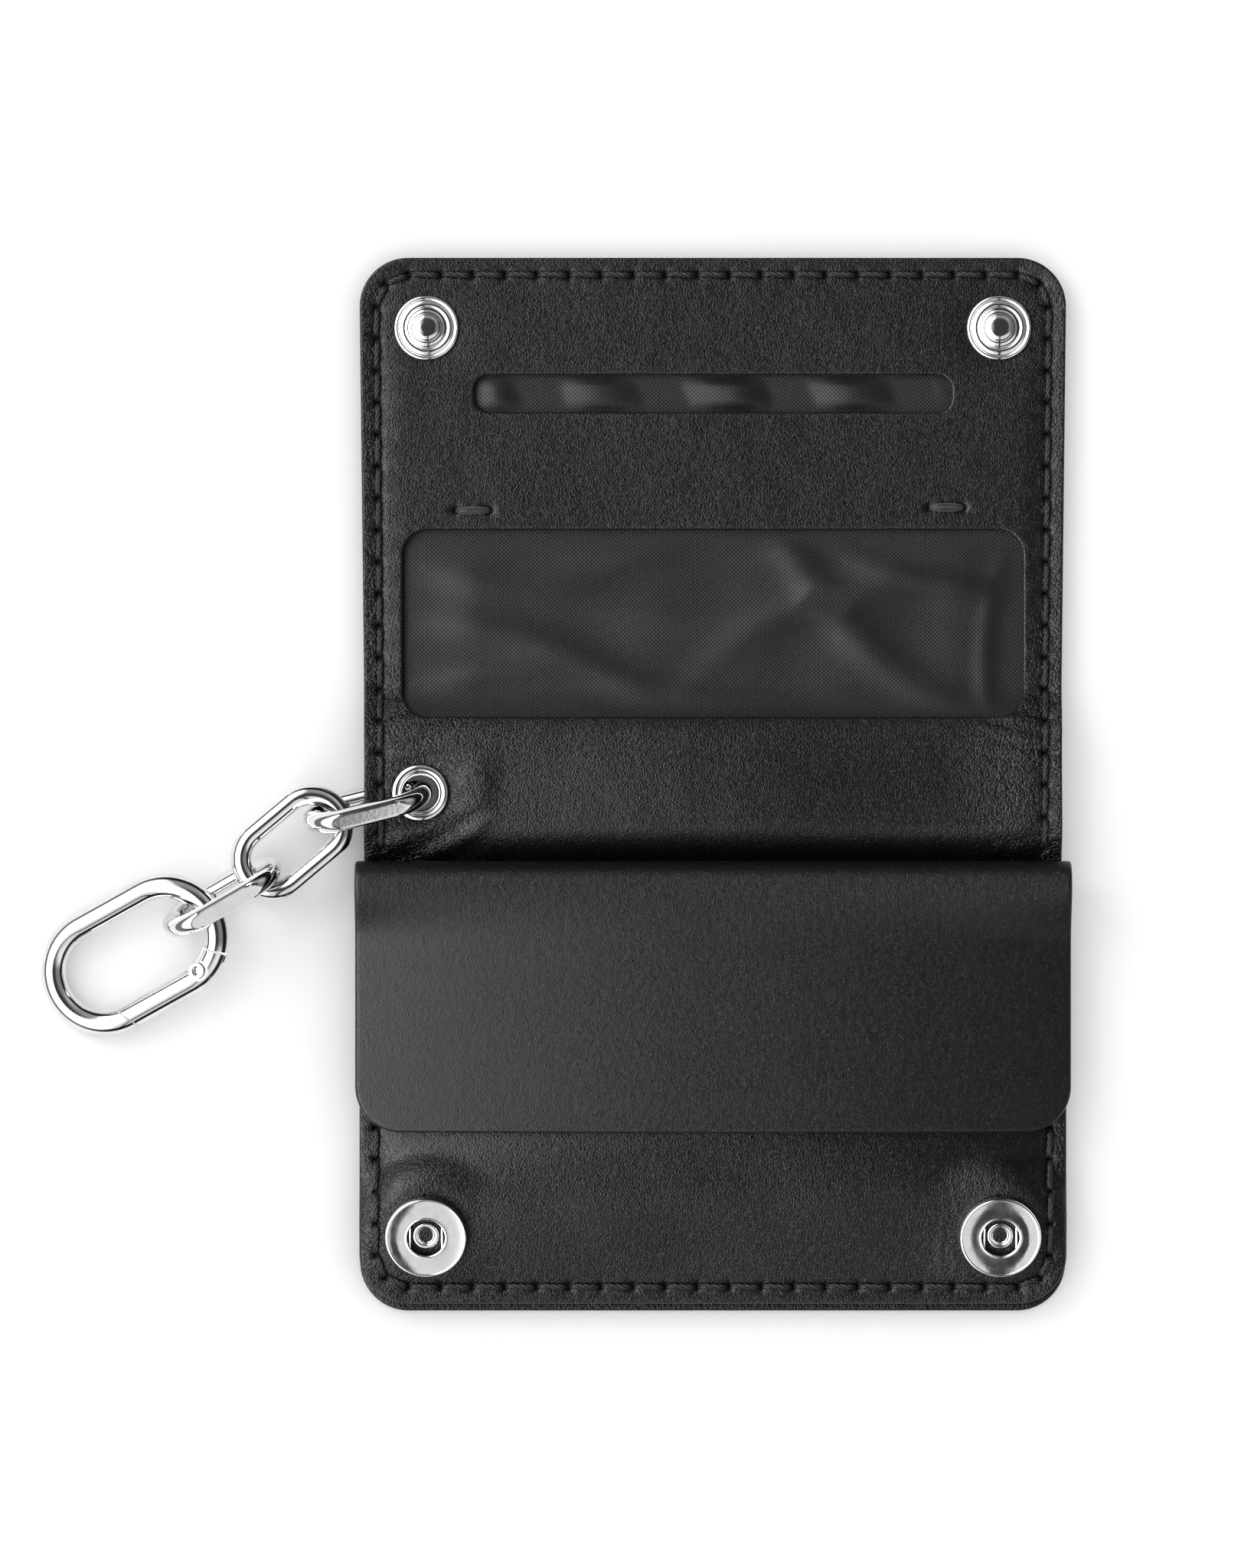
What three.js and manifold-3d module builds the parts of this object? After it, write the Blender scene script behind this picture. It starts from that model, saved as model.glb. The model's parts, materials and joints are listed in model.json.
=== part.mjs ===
// A bifold chain wallet lying open: leather halves joined by an arched spine, a flapped coin
// pocket, a card pocket with a window, two snaps, an eyelet, a three-link chain and a carabiner.
// Millimetres. +X right, +Y from the coin pocket to the card pocket, +Z up from the table.
// The origin is the centre of the coin half's flat underside.
import * as THREE from 'three';
import { mergeVertices } from 'three/addons/utils/BufferGeometryUtils.js';
import Module from 'manifold-3d';

const wasm = await Module();
wasm.setup();

// ---- driving dimensions: leather ----
const HALF_WIDTH = 54.3; // half the width at the far edges
const WAIST = HALF_WIDTH - 0.8; // half the width at the spine
const UPPER_LENGTH = 80.4; // spine centre to the card pocket's edge
const LOWER_LENGTH = 81.6; // spine centre to the cover's edge under the coin pocket
const POCKET_INSET = 1.3; // the coin pocket stops this short of the cover's edge
const CORNER = 7.5; // outer corner radius
const COVER = 1.4; // cover leather
const PANEL = 1.2; // inner panel leather
const LINING = 0.2; // woven lining
const PLY_GAP = 0.25; // between two stacked plies of a body
const CUT_GAP = 0.3; // between two solids that meet edge to edge

// ---- driving dimensions: spine ----
const LOWER_FOLD_Y = -6.6; // fold line between the coin half and the spine
const UPPER_FOLD_Y = 6.6; // fold line between the spine and the card half
const ARCH = 3.9; // height of the spine's underside, over the chain
const LOWER_RAMP = 8; // run of the slope from the spine to the coin half
const UPPER_RAMP = 9; // run of the slope from the spine to the card half
const CLOSED_WEDGE = 13; // degrees between the halves when the wallet is snapped shut

// ---- driving dimensions: card pocket ----
const SLOT_Y = 59.5;
const SLOT_LENGTH = 73.5;
const SLOT_WIDTH = 5.8;
const SLOT_CORNER = 2.3;
const WINDOW_Y = 24.2;
const WINDOW_LENGTH = 95.4;
const WINDOW_WIDTH = 28.8;
const WINDOW_CORNER = 4;
const TACK_LENGTH = 5.9;
const TACK_WIDTH = 1.4;
const TACKS = { left: [-36.9, 41.6], right: [35.9, 42] };

// ---- driving dimensions: coin pocket and flap ----
const MOUTH_Y = -24; // free edge of the coin pocket's front, under the flap
const FRONT = 1.3; // front leather
const FRONT_EDGE_RISE = 0.3; // front's underside over the back panel, at the stitched edge
const POUCH = 4; // how far the front bulges
const POUCH_SIDE_RUN = 9; // the bulge's slope at the sides
const POUCH_END_RUN = 16; // the bulge's slope at the bottom
const FLAP = 1.4; // flap leather
const FLAP_OVERHANG = 0.6; // how far the flap reaches past the coin half's sides
const FLAP_HALF_WIDTH = HALF_WIDTH + FLAP_OVERHANG;
const FLAP_FOLD_Y = -12.3; // outside of the flap's rolled fold
const FLAP_EDGE_Y = -53.9; // the flap's free edge
const FLAP_CORNER = 7;
const FLAP_DROOP = 2; // how far the flap's sides hang
const FLAP_DROOP_RUN = 9;
const FLAP_ROOT = 6; // flat length of the leaf sewn to the back panel

// ---- driving dimensions: snaps ----
const SNAP_INSET = 10.3; // from the sides
const SNAP_X = HALF_WIDTH - SNAP_INSET;
const SOCKET_INSET = 10.6; // from the coin pocket's stitched end
const SOCKET_Y = SOCKET_INSET + POCKET_INSET - LOWER_LENGTH;
const STUD_Y = -SOCKET_Y - 0.1; // meets the socket when the wallet is shut
const STUD_RADIUS = 5;
const STUD_KNOB_RADIUS = 2.05;
const STUD_HEIGHT = 2;
const SOCKET_RADIUS = 6.35;
const SOCKET_HEIGHT = 1.8;
const SOCKET_HOLE = 2.9;
const SPRING_WIRE = 0.18; // radius
const SPRING_X = 2.45;
const SPRING_HEIGHT = 0.95; // above the leather
const SEAT_HEIGHT = 6.6; // leather surface under a socket's centre
const SEAT_RADIUS = SOCKET_RADIUS + 0.45; // flat leather round a socket
const SEAT_BLEND = 3.5;
const POST_RADIUS = 1.1;
const POST_HOLE = 1.45;
const POST_HEAD = 0.7; // thickness of the heads that the card half rests on

// ---- driving dimensions: stitching ----
const STITCH_INSET = 2.6;
const THREAD = 0.35; // radius
const SEAM_BEND = 12; // stretch beside a fold or mouth where the seam follows a slope

// ---- driving dimensions: eyelet and chain ----
const EYELET = [8.6 - WAIST, -1.85]; // 8.6 from the left side
const EYELET_RADIUS = 4.35;
const EYELET_BORE = 2.65;
const EYELET_WALL = 0.25;
const EYELET_FLANGE = 0.5;
const LINK_LENGTH = 20.6;
const LINK_WIDTH = 12.1; // across the filed flats
const LINK_WIRE = 1.6; // radius
const LINK_FLAT = 0.45; // depth of the filed flats
const EDGE_LINK_TILT = 15; // degrees that a link on edge leans
const TABLE_GAP = 0.05;
const fromEyelet = (x, y) => [EYELET[0] + x, EYELET[1] + y];
const LINK_1 = { at: fromEyelet(-8.1, -1.95), turn: 14 };
const LINK_2 = { at: fromEyelet(-19.7, -7.65), turn: 40, height: 5.5 };
const LINK_3 = { at: fromEyelet(-30.4, -15.95), turn: 30 };

// ---- driving dimensions: carabiner ----
const RING = { at: fromEyelet(-43.9, -24.85), turn: 29, pitch: 7 };
const RING_LENGTH = 30.7;
const RING_WIDTH = 19.7;
const RING_WIRE = 1.95; // radius
const HINGE_SEAM_ANGLE = -45; // degrees round the near end
const NOSE_SEAM = [-5.5, -7.9]; // where the seam crosses the gate's centre line
const NOSE_SLANT = 0.475; // sideways run of the seam per unit across the wire
const RIVET_ANGLE = -73;
const RIVET_INSET = 0.75; // from the wire's centre line, toward the eye
const RIVET_RADIUS = 0.65;
const RIVET_HEAD = 1.3;
const RIVET_HEAD_DEPTH = 0.4;
const TONGUE = 1.3; // thickness
const TONGUE_RADIUS = 1.6;
const GATE_SPRING_RADIUS = 0.45;
const GATE_SPRING_LENGTH = 3;

const degrees = (angle) => (angle * Math.PI) / 180;
const POCKET_LENGTH = LOWER_LENGTH - POCKET_INSET;
const REST_Y = -(LOWER_LENGTH - LOWER_FOLD_Y - LOWER_RAMP) / 2 - LOWER_RAMP;

// ---- materials ----
const leather = { color: 0x1c1c1d, roughness: 0.45, metalness: 0 };
const cloth = { color: 0x111112, roughness: 0.8, metalness: 0 };
const thread = { color: 0x161616, roughness: 0.6, metalness: 0 };
const nickel = { color: 0xd8d8d8, roughness: 0.12, metalness: 1 };

// ---- solids ----
function solidOf(geometry) {
  const bare = geometry.clone();
  bare.deleteAttribute('normal');
  bare.deleteAttribute('uv');
  const merged = mergeVertices(bare, 1e-4);
  const vertProperties = new Float32Array(merged.attributes.position.array);
  const triVerts = new Uint32Array(merged.index.array);
  return new wasm.Manifold(new wasm.Mesh({ numProp: 3, vertProperties, triVerts }));
}

function geometryOf(solid) {
  const { vertProperties, triVerts } = solid.getMesh();
  const geometry = new THREE.BufferGeometry();
  geometry.setAttribute('position', new THREE.BufferAttribute(vertProperties, 3));
  geometry.setIndex(new THREE.BufferAttribute(triVerts, 1));
  return geometry;
}

function cut(geometry, tools) {
  let solid = solidOf(geometry);
  for (const tool of tools) {
    solid = solid.subtract(solidOf(tool));
  }
  return geometryOf(solid);
}

function meet(geometry, tool) {
  return geometryOf(solidOf(geometry).intersect(solidOf(tool)));
}

function join(geometry, others) {
  let solid = solidOf(geometry);
  for (const other of others) {
    solid = solid.add(solidOf(other));
  }
  return geometryOf(solid);
}

function prism(shape, low, high, curveSegments = 5) {
  const geometry = new THREE.ExtrudeGeometry(shape, {
    depth: high - low,
    bevelEnabled: false,
    curveSegments,
  });
  return geometry.translate(0, 0, low);
}

function rod(radius, low, high, x = 0, y = 0, segments = 16) {
  const geometry = new THREE.CylinderGeometry(radius, radius, high - low, segments);
  return geometry.rotateX(Math.PI / 2).translate(x, y, (low + high) / 2);
}

function lathe(profile, segments = 20) {
  const points = profile.map(([r, z]) => new THREE.Vector2(r, z));
  return new THREE.LatheGeometry(points, segments).rotateX(Math.PI / 2);
}

function ringLathe(profile, segments = 20) {
  return lathe([...profile, profile[0]], segments);
}

// A round thread through a list of points that stays near the horizontal.
function wire(points, radius, sides = 6) {
  const corners = [];
  const faces = [];
  const up = new THREE.Vector3(0, 0, 1);
  points.forEach((point, i) => {
    const before = points[Math.max(i - 1, 0)];
    const after = points[Math.min(i + 1, points.length - 1)];
    const along = after.clone().sub(before).normalize();
    const across = along.clone().cross(up).normalize();
    const raised = across.clone().cross(along);
    for (let k = 0; k < sides; k += 1) {
      const angle = (2 * Math.PI * k) / sides;
      const corner = point.clone().addScaledVector(across, radius * Math.cos(angle));
      corner.addScaledVector(raised, radius * Math.sin(angle));
      corners.push(corner.x, corner.y, corner.z);
    }
  });
  for (let i = 0; i + 1 < points.length; i += 1) {
    for (let k = 0; k < sides; k += 1) {
      const [a, b] = [i * sides + k, i * sides + ((k + 1) % sides)];
      faces.push(a, a + sides, b + sides, a, b + sides, b);
    }
  }
  const last = (points.length - 1) * sides;
  for (let k = 1; k + 1 < sides; k += 1) {
    faces.push(0, k, k + 1, last, last + k + 1, last + k);
  }
  const geometry = new THREE.BufferGeometry();
  geometry.setAttribute('position', new THREE.Float32BufferAttribute(corners, 3));
  geometry.setIndex(faces);
  return geometry;
}

// ---- outlines ----
function roundedRectangle(x, y, length, width, radius) {
  const shape = new THREE.Shape();
  const [w, h] = [length / 2, width / 2];
  shape.moveTo(x - w + radius, y - h);
  shape.lineTo(x + w - radius, y - h);
  shape.absarc(x + w - radius, y - h + radius, radius, -Math.PI / 2, 0);
  shape.lineTo(x + w, y + h - radius);
  shape.absarc(x + w - radius, y + h - radius, radius, 0, Math.PI / 2);
  shape.lineTo(x - w + radius, y + h);
  shape.absarc(x - w + radius, y + h - radius, radius, Math.PI / 2, Math.PI);
  shape.lineTo(x - w, y - h + radius);
  shape.absarc(x - w + radius, y - h + radius, radius, Math.PI, 1.5 * Math.PI);
  return shape;
}

// A half of the wallet, from a straight near edge to a far edge with round corners.
function halfOutline(near, far, nearHalf, farHalf, radius) {
  const away = Math.sign(far - near);
  const shape = new THREE.Shape();
  const turn = (x, from, to, clockwise) =>
    shape.absarc(x, far - away * radius, radius, from, to, clockwise);
  shape.moveTo(-nearHalf, near);
  shape.lineTo(nearHalf, near);
  turn(farHalf - radius, 0, (away * Math.PI) / 2, away < 0);
  turn(-farHalf + radius, (away * Math.PI) / 2, Math.PI, away < 0);
  return shape;
}

// ---- surfaces ----
function smooth(t) {
  const s = Math.min(Math.max(t, 0), 1);
  return s * s * (3 - 2 * s);
}

// Height of the cover's underside above the table.
function lift(y) {
  if (y < LOWER_FOLD_Y) {
    return ARCH * (1 - smooth((LOWER_FOLD_Y - y) / LOWER_RAMP));
  }
  if (y > UPPER_FOLD_Y) {
    return POST_HEAD + (ARCH - POST_HEAD) * (1 - smooth((y - UPPER_FOLD_Y) / UPPER_RAMP));
  }
  return ARCH;
}

const PANEL_BASE = COVER + PLY_GAP;
const PANEL_TOP = PANEL_BASE + PANEL;
const FRONT_EDGE_TOP = PANEL_TOP + FRONT_EDGE_RISE + FRONT;
const SEAT_SLOPE = Math.tan(degrees(CLOSED_WEDGE));

// Height of the coin pocket's front, outside.
function pouch(x, y) {
  const side = smooth((HALF_WIDTH - Math.abs(x)) / POUCH_SIDE_RUN);
  const end = smooth((POCKET_LENGTH + y) / POUCH_END_RUN);
  const free = FRONT_EDGE_TOP + POUCH * side * end;
  const seat = SEAT_HEIGHT + (y - SOCKET_Y) * SEAT_SLOPE;
  const reach = Math.hypot(Math.abs(x) - SNAP_X, y - SOCKET_Y);
  const seated = 1 - smooth((reach - SEAT_RADIUS) / SEAT_BLEND);
  return free + (seat - free) * seated;
}

const FLAP_UNDER = FRONT_EDGE_TOP + POUCH + CUT_GAP;
const FLAP_TOP = FLAP_UNDER + FLAP;
const FLAP_ROLL_BASE = PANEL_TOP + PLY_GAP;
const FLAP_ROLL = (FLAP_TOP - FLAP_ROLL_BASE) / 2; // outer radius of the rolled fold
const FLAP_HINGE_Y = FLAP_FOLD_Y - FLAP_ROLL;

function flapSag(x) {
  return FLAP_DROOP * smooth((Math.abs(x) - FLAP_HALF_WIDTH + FLAP_DROOP_RUN) / FLAP_DROOP_RUN);
}

function stations(low, high, steps) {
  return Array.from({ length: steps + 1 }, (_, i) => low + ((high - low) * i) / steps);
}

// A sheet between two height functions, over the outline's box, trimmed to the outline.
function sheet(outline, xs, ys, under, over) {
  const [columns, rows] = [xs.length, ys.length];
  const corners = [];
  for (const height of [under, over]) {
    for (const y of ys) {
      for (const x of xs) {
        corners.push(x, y, height(x, y));
      }
    }
  }
  const faces = [];
  const quad = (a, b, c, d) => faces.push(a, b, c, a, c, d);
  const top = columns * rows;
  for (let j = 0; j + 1 < rows; j += 1) {
    for (let i = 0; i + 1 < columns; i += 1) {
      const a = j * columns + i;
      quad(a, a + columns, a + columns + 1, a + 1);
      quad(top + a, top + a + 1, top + a + columns + 1, top + a + columns);
    }
  }
  for (let i = 0; i + 1 < columns; i += 1) {
    const far = (rows - 1) * columns + i;
    quad(i, i + 1, top + i + 1, top + i);
    quad(far + 1, far, top + far, top + far + 1);
  }
  for (let j = 0; j + 1 < rows; j += 1) {
    const left = j * columns;
    const right = left + columns - 1;
    quad(left + columns, left, top + left, top + left + columns);
    quad(right, right + columns, top + right + columns, top + right);
  }
  const geometry = new THREE.BufferGeometry();
  geometry.setAttribute('position', new THREE.Float32BufferAttribute(corners, 3));
  geometry.setIndex(faces);
  return outline ? meet(geometry, prism(outline, -5, 40)) : geometry;
}

// ---- assembly ----
const wallet = new THREE.Group();
wallet.position.y = -REST_Y;

function add(name, geometry, look, parent = wallet) {
  const mesh = new THREE.Mesh(geometry, new THREE.MeshStandardMaterial(look));
  mesh.name = name;
  parent.add(mesh);
  return mesh;
}

const SIDES = { left: -1, right: 1 };
const wide = [-HALF_WIDTH - 5, HALF_WIDTH + 5];

function coverOfLowerHalf() {
  const near = LOWER_FOLD_Y - CUT_GAP / 2;
  const outline = halfOutline(near, -LOWER_LENGTH, WAIST, HALF_WIDTH, CORNER);
  const ys = [-LOWER_LENGTH - 1, ...stations(LOWER_FOLD_Y - LOWER_RAMP, near + 0.1, 8)];
  const under = (x, y) => lift(y);
  add('cover_lower', sheet(outline, wide, ys, under, (x, y) => lift(y) + COVER), leather);
}

function backOfCoinPocket() {
  const near = LOWER_FOLD_Y - CUT_GAP / 2;
  const outline = halfOutline(near, -POCKET_LENGTH, WAIST, HALF_WIDTH, CORNER);
  const ys = [-LOWER_LENGTH - 1, ...stations(LOWER_FOLD_Y - LOWER_RAMP, near + 0.1, 8)];
  const under = (x, y) => lift(y) + PANEL_BASE;
  add('pocket_back', sheet(outline, wide, ys, under, (x, y) => lift(y) + PANEL_TOP), leather);
}

// Places what is built round a socket's own axis on the sloped seat.
function onSeat(geometry, side) {
  return geometry
    .rotateX(degrees(CLOSED_WEDGE))
    .translate(SIDES[side] * SNAP_X, SOCKET_Y, SEAT_HEIGHT);
}

function frontOfCoinPocket() {
  const outline = halfOutline(MOUTH_Y, -POCKET_LENGTH, HALF_WIDTH - 0.1, HALF_WIDTH, CORNER);
  const side = stations(HALF_WIDTH - POUCH_SIDE_RUN - 1, HALF_WIDTH + 1, 5);
  const inner = stations(SNAP_X - SEAT_RADIUS - SEAT_BLEND, side[0] - 1.5, 4);
  const right = [...inner, ...side];
  const xs = [...right.map((x) => -x).reverse(), 0, ...right];
  const end = stations(-POCKET_LENGTH - 1, -POCKET_LENGTH + POUCH_END_RUN + 4, 10);
  const ys = [...end, MOUTH_Y + 1];
  const under = (x, y) => pouch(x, y) - FRONT;
  const front = sheet(outline, xs, ys, under, pouch);
  const holes = Object.keys(SIDES).map((name) => onSeat(rod(POST_HOLE, -4, 2), name));
  add('pocket_front', cut(front, holes), leather);
}

function flap() {
  const bend = new THREE.Shape();
  const inner = FLAP_ROLL - FLAP;
  const centre = FLAP_ROLL_BASE + FLAP_ROLL;
  bend.moveTo(-FLAP_ROOT, -FLAP_ROLL);
  bend.lineTo(0, -FLAP_ROLL);
  bend.absarc(0, 0, FLAP_ROLL, -Math.PI / 2, Math.PI / 2);
  bend.lineTo(0, inner);
  bend.absarc(0, 0, inner, Math.PI / 2, -Math.PI / 2, true);
  bend.lineTo(-FLAP_ROOT, -inner);
  // the profile is drawn in Y and Z, so the prism's depth is turned along X
  const turned = new THREE.Matrix4().makeBasis(
    new THREE.Vector3(0, 1, 0),
    new THREE.Vector3(0, 0, 1),
    new THREE.Vector3(1, 0, 0),
  );
  const roll = prism(bend, -FLAP_HALF_WIDTH, FLAP_HALF_WIDTH, 8).applyMatrix4(turned);
  roll.translate(0, FLAP_HINGE_Y, centre);
  const xs = [
    ...stations(-FLAP_HALF_WIDTH, -FLAP_HALF_WIDTH + FLAP_DROOP_RUN, 5),
    ...stations(FLAP_HALF_WIDTH - FLAP_DROOP_RUN, FLAP_HALF_WIDTH, 5),
  ];
  const near = FLAP_HINGE_Y - CUT_GAP;
  const outline = halfOutline(near, FLAP_EDGE_Y, FLAP_HALF_WIDTH, FLAP_HALF_WIDTH, FLAP_CORNER);
  // the sides hang only past the roll, which stays straight
  const grow = (y) => smooth((near - y) / FLAP_DROOP_RUN);
  const over = (x, y) => FLAP_TOP - flapSag(x) * grow(y);
  const ys = [FLAP_EDGE_Y - 1, ...stations(near - FLAP_DROOP_RUN, near, 4)];
  add('flap_back', roll, leather);
  add('pocket_flap', sheet(outline, xs, ys, (x, y) => over(x, y) - FLAP, over), leather);
}

function snapSocket(side) {
  const rim = SOCKET_RADIUS;
  const top = SOCKET_HEIGHT;
  const wall = 0.65;
  const profile = [
    [rim - wall, 0.05],
    [rim - 0.1, 0.05],
    [rim, 0.35],
    [rim, top - 0.45],
    [rim - 0.25, top - 0.1],
    [rim - 0.6, top],
    [rim - 1.0, top - 0.12],
    [rim - 1.2, top - 0.2],
    [SOCKET_HOLE + 0.55, top - 0.15],
    [SOCKET_HOLE + 0.25, top],
    [SOCKET_HOLE, top - 0.15],
    [SOCKET_HOLE, top - 0.4],
    [rim - wall, top - 0.45],
  ];
  add(`socket_${side}`, onSeat(ringLathe(profile, 24), side), nickel);
  const half = Math.sqrt((rim - wall - CUT_GAP) ** 2 - (SPRING_X + SPRING_WIRE) ** 2);
  for (const [edge, x] of [['inner', -SPRING_X], ['outer', SPRING_X]]) {
    const bar = new THREE.CylinderGeometry(SPRING_WIRE, SPRING_WIRE, 2 * half, 8);
    bar.translate(SIDES[side] * x, 0, SPRING_HEIGHT);
    add(`socket_spring_${side}_${edge}`, onSeat(bar, side), nickel);
  }
  const under = -FRONT - CUT_GAP;
  const cap = [
    [0, under - 0.8],
    [4.2, under - 0.8],
    [4.6, under - 0.5],
    [4.6, under],
    [POST_RADIUS, under],
    [POST_RADIUS, 0.05],
    [1.6, 0.08],
    [1.7, 0.2],
    [1.45, 0.35],
    [1.1, 0.2],
    [0, 0.12],
  ];
  add(`socket_cap_${side}`, onSeat(lathe(cap), side), nickel);
}

function runOfPoints(points) {
  return points.map(([x, y, z]) => new THREE.Vector3(x, y, z));
}

// The stitch line round the far end of a half, on the surface that height gives.
function seamAround(near, far, half, height) {
  const away = Math.sign(far - near);
  const inner = half - STITCH_INSET;
  const radius = CORNER - STITCH_INSET;
  const end = far - away * STITCH_INSET;
  const points = [];
  const put = (x, y) => points.push([x, y, height(x, y) + THREAD + 0.05]);
  const bend = near + away * SEAM_BEND;
  const side = [...stations(near, bend, 6), ...stations(bend, end - away * radius, 12).slice(1)];
  side.forEach((y) => put(-inner, y));
  for (const angle of [30, 60]) {
    const [c, s] = [Math.cos(degrees(angle)), Math.sin(degrees(angle))];
    put(-inner + radius - radius * c, end - away * radius * (1 - s));
  }
  stations(-inner + radius, inner - radius, 24).forEach((x) => put(x, end));
  for (const angle of [60, 30]) {
    const [c, s] = [Math.cos(degrees(angle)), Math.sin(degrees(angle))];
    put(inner - radius + radius * c, end - away * radius * (1 - s));
  }
  side.reverse().forEach((y) => put(inner, y));
  return wire(runOfPoints(points), THREAD);
}

function seamStraight(x, from, to, height) {
  const points = stations(from, to, 3).map((y) => [x, y, height(x, y) + THREAD + 0.05]);
  return wire(runOfPoints(points), THREAD);
}

function stitching() {
  const panel = (x, y) => lift(y) + PANEL_TOP;
  const inside = HALF_WIDTH - 0.5;
  const clear = CUT_GAP / 2 + THREAD;
  const upper = seamAround(UPPER_FOLD_Y + clear, UPPER_LENGTH, inside, panel);
  add('thread_upper', upper, thread);
  const around = [[0, 0], [THREAD, 0], [-THREAD, 0], [0, THREAD], [0, -THREAD]];
  const bulge = (x, y) => Math.max(...around.map(([dx, dy]) => pouch(x + dx, y + dy)));
  const lower = seamAround(MOUTH_Y - 1, -POCKET_LENGTH, HALF_WIDTH, bulge);
  add('thread_lower', lower, thread);
  for (const [side, sign] of Object.entries(SIDES)) {
    const x = sign * (WAIST - STITCH_INSET);
    const spine = seamStraight(x, LOWER_FOLD_Y + clear, UPPER_FOLD_Y - clear, panel);
    add(`thread_spine_${side}`, spine, thread);
    const neck = seamStraight(x, FLAP_FOLD_Y + 1, LOWER_FOLD_Y - clear, panel);
    add(`thread_neck_${side}`, neck, thread);
  }
}

function spine() {
  const [near, far] = [LOWER_FOLD_Y + CUT_GAP / 2, UPPER_FOLD_Y - CUT_GAP / 2];
  const middle = (near + far) / 2;
  const outline = roundedRectangle(0, middle, 2 * WAIST, far - near, 0.01);
  const hole = rod(EYELET_BORE + EYELET_WALL + CUT_GAP, -5, 20, ...EYELET, 20);
  const plies = { cover_spine: [0, COVER], panel_spine: [PANEL_BASE, PANEL_TOP] };
  for (const [name, [low, high]] of Object.entries(plies)) {
    add(name, cut(prism(outline, ARCH + low, ARCH + high, 1), [hole]), leather);
  }
  const seat = ARCH + PANEL_TOP + 0.05;
  const top = seat + EYELET_FLANGE;
  const barrel = EYELET_BORE + EYELET_WALL;
  const under = ARCH - 0.05;
  const profile = [
    [EYELET_BORE, under + 0.8],
    [barrel - 0.05, under - 0.1],
    [barrel, under - 0.1],
    [barrel, seat],
    [EYELET_RADIUS - 0.15, seat],
    [EYELET_RADIUS, seat + 0.15],
    [EYELET_RADIUS - 0.3, top - 0.12],
    [EYELET_RADIUS - 0.75, top - 0.2],
    [EYELET_RADIUS - 0.95, top - 0.05],
    [EYELET_BORE + 0.4, top],
    [EYELET_BORE, top - 0.45],
  ];
  add('eyelet', ringLathe(profile).translate(...EYELET, 0), nickel);
  const washer = [
    [barrel + CUT_GAP, under - 0.4],
    [EYELET_RADIUS, under - 0.4],
    [EYELET_RADIUS, under],
    [barrel + CUT_GAP, under],
  ];
  add('eyelet_washer', ringLathe(washer).translate(...EYELET, 0), nickel);
}

function cardHalf() {
  const near = UPPER_FOLD_Y + CUT_GAP / 2;
  const outline = halfOutline(near, UPPER_LENGTH, WAIST, HALF_WIDTH, CORNER);
  const ys = [...stations(near - 0.1, UPPER_FOLD_Y + UPPER_RAMP, 8), UPPER_LENGTH + 1];
  const ply = (low, high) =>
    sheet(outline, wide, ys, (x, y) => lift(y) + low, (x, y) => lift(y) + high);
  const posts = Object.values(SIDES).map((sign) =>
    rod(POST_HOLE, -5, 20, sign * SNAP_X, STUD_Y));
  const slot = roundedRectangle(0, SLOT_Y, SLOT_LENGTH, SLOT_WIDTH, SLOT_CORNER);
  const window = roundedRectangle(0, WINDOW_Y, WINDOW_LENGTH, WINDOW_WIDTH, WINDOW_CORNER);
  const openings = [prism(slot, -5, 20), prism(window, -5, 20)];
  add('cover_upper', cut(ply(0, COVER), posts), leather);
  add('card_panel', cut(ply(PANEL_BASE, PANEL_TOP), [...posts, ...openings]), leather);
  const flat = UPPER_FOLD_Y + UPPER_RAMP - 2;
  const inset = STITCH_INSET + 1.5;
  const clothOutline = roundedRectangle(
    0,
    (flat + UPPER_LENGTH - inset) / 2,
    2 * (HALF_WIDTH - inset),
    UPPER_LENGTH - inset - flat,
    CORNER - STITCH_INSET,
  );
  const clothLow = (x, y) => lift(y) + COVER + (PLY_GAP - LINING) / 2;
  const lining = sheet(clothOutline, wide, ys, clothLow, (x, y) => clothLow(x, y) + LINING);
  add('card_lining', cut(lining, posts), cloth);
  for (const [side, [x, y]] of Object.entries(TACKS)) {
    const bar = new THREE.CapsuleGeometry(TACK_WIDTH / 2, TACK_LENGTH - TACK_WIDTH, 3, 8);
    bar.rotateZ(Math.PI / 2).scale(1, 1, 0.6);
    bar.translate(x, y, lift(y) + PANEL_TOP + 0.6 * (TACK_WIDTH / 2) + 0.05);
    add(`tack_${side}`, bar, thread);
  }
}

function snapStud(side) {
  const seat = POST_HEAD + PANEL_TOP + 0.05;
  const knob = STUD_KNOB_RADIUS;
  const r = STUD_RADIUS;
  const h = STUD_HEIGHT;
  const profile = [
    [0, 0],
    [r - 0.2, 0],
    [r, 0.2],
    [r - 0.35, 0.42],
    [r - 1.1, 0.34],
    [3.1, 0.34],
    [2.9, 0.5],
    [2.4, 0.5],
    [knob - 0.3, 0.62],
    [knob - 0.3, 0.85],
    [knob, h - 0.75],
    [knob - 0.1, h - 0.4],
    [knob - 0.5, h - 0.1],
    [0, h],
  ];
  const place = (geometry, z) => geometry.translate(SIDES[side] * SNAP_X, STUD_Y, z);
  add(`stud_${side}`, place(lathe(profile, 24), seat), nickel);
  const head = [
    [0, 0],
    [3.6, 0],
    [4.2, 0.3],
    [4.2, POST_HEAD - 0.05],
    [POST_RADIUS, POST_HEAD - 0.05],
    [POST_RADIUS, seat - CUT_GAP],
    [0, seat - CUT_GAP],
  ];
  add(`stud_post_${side}`, place(lathe(head), 0), nickel);
}

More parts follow.
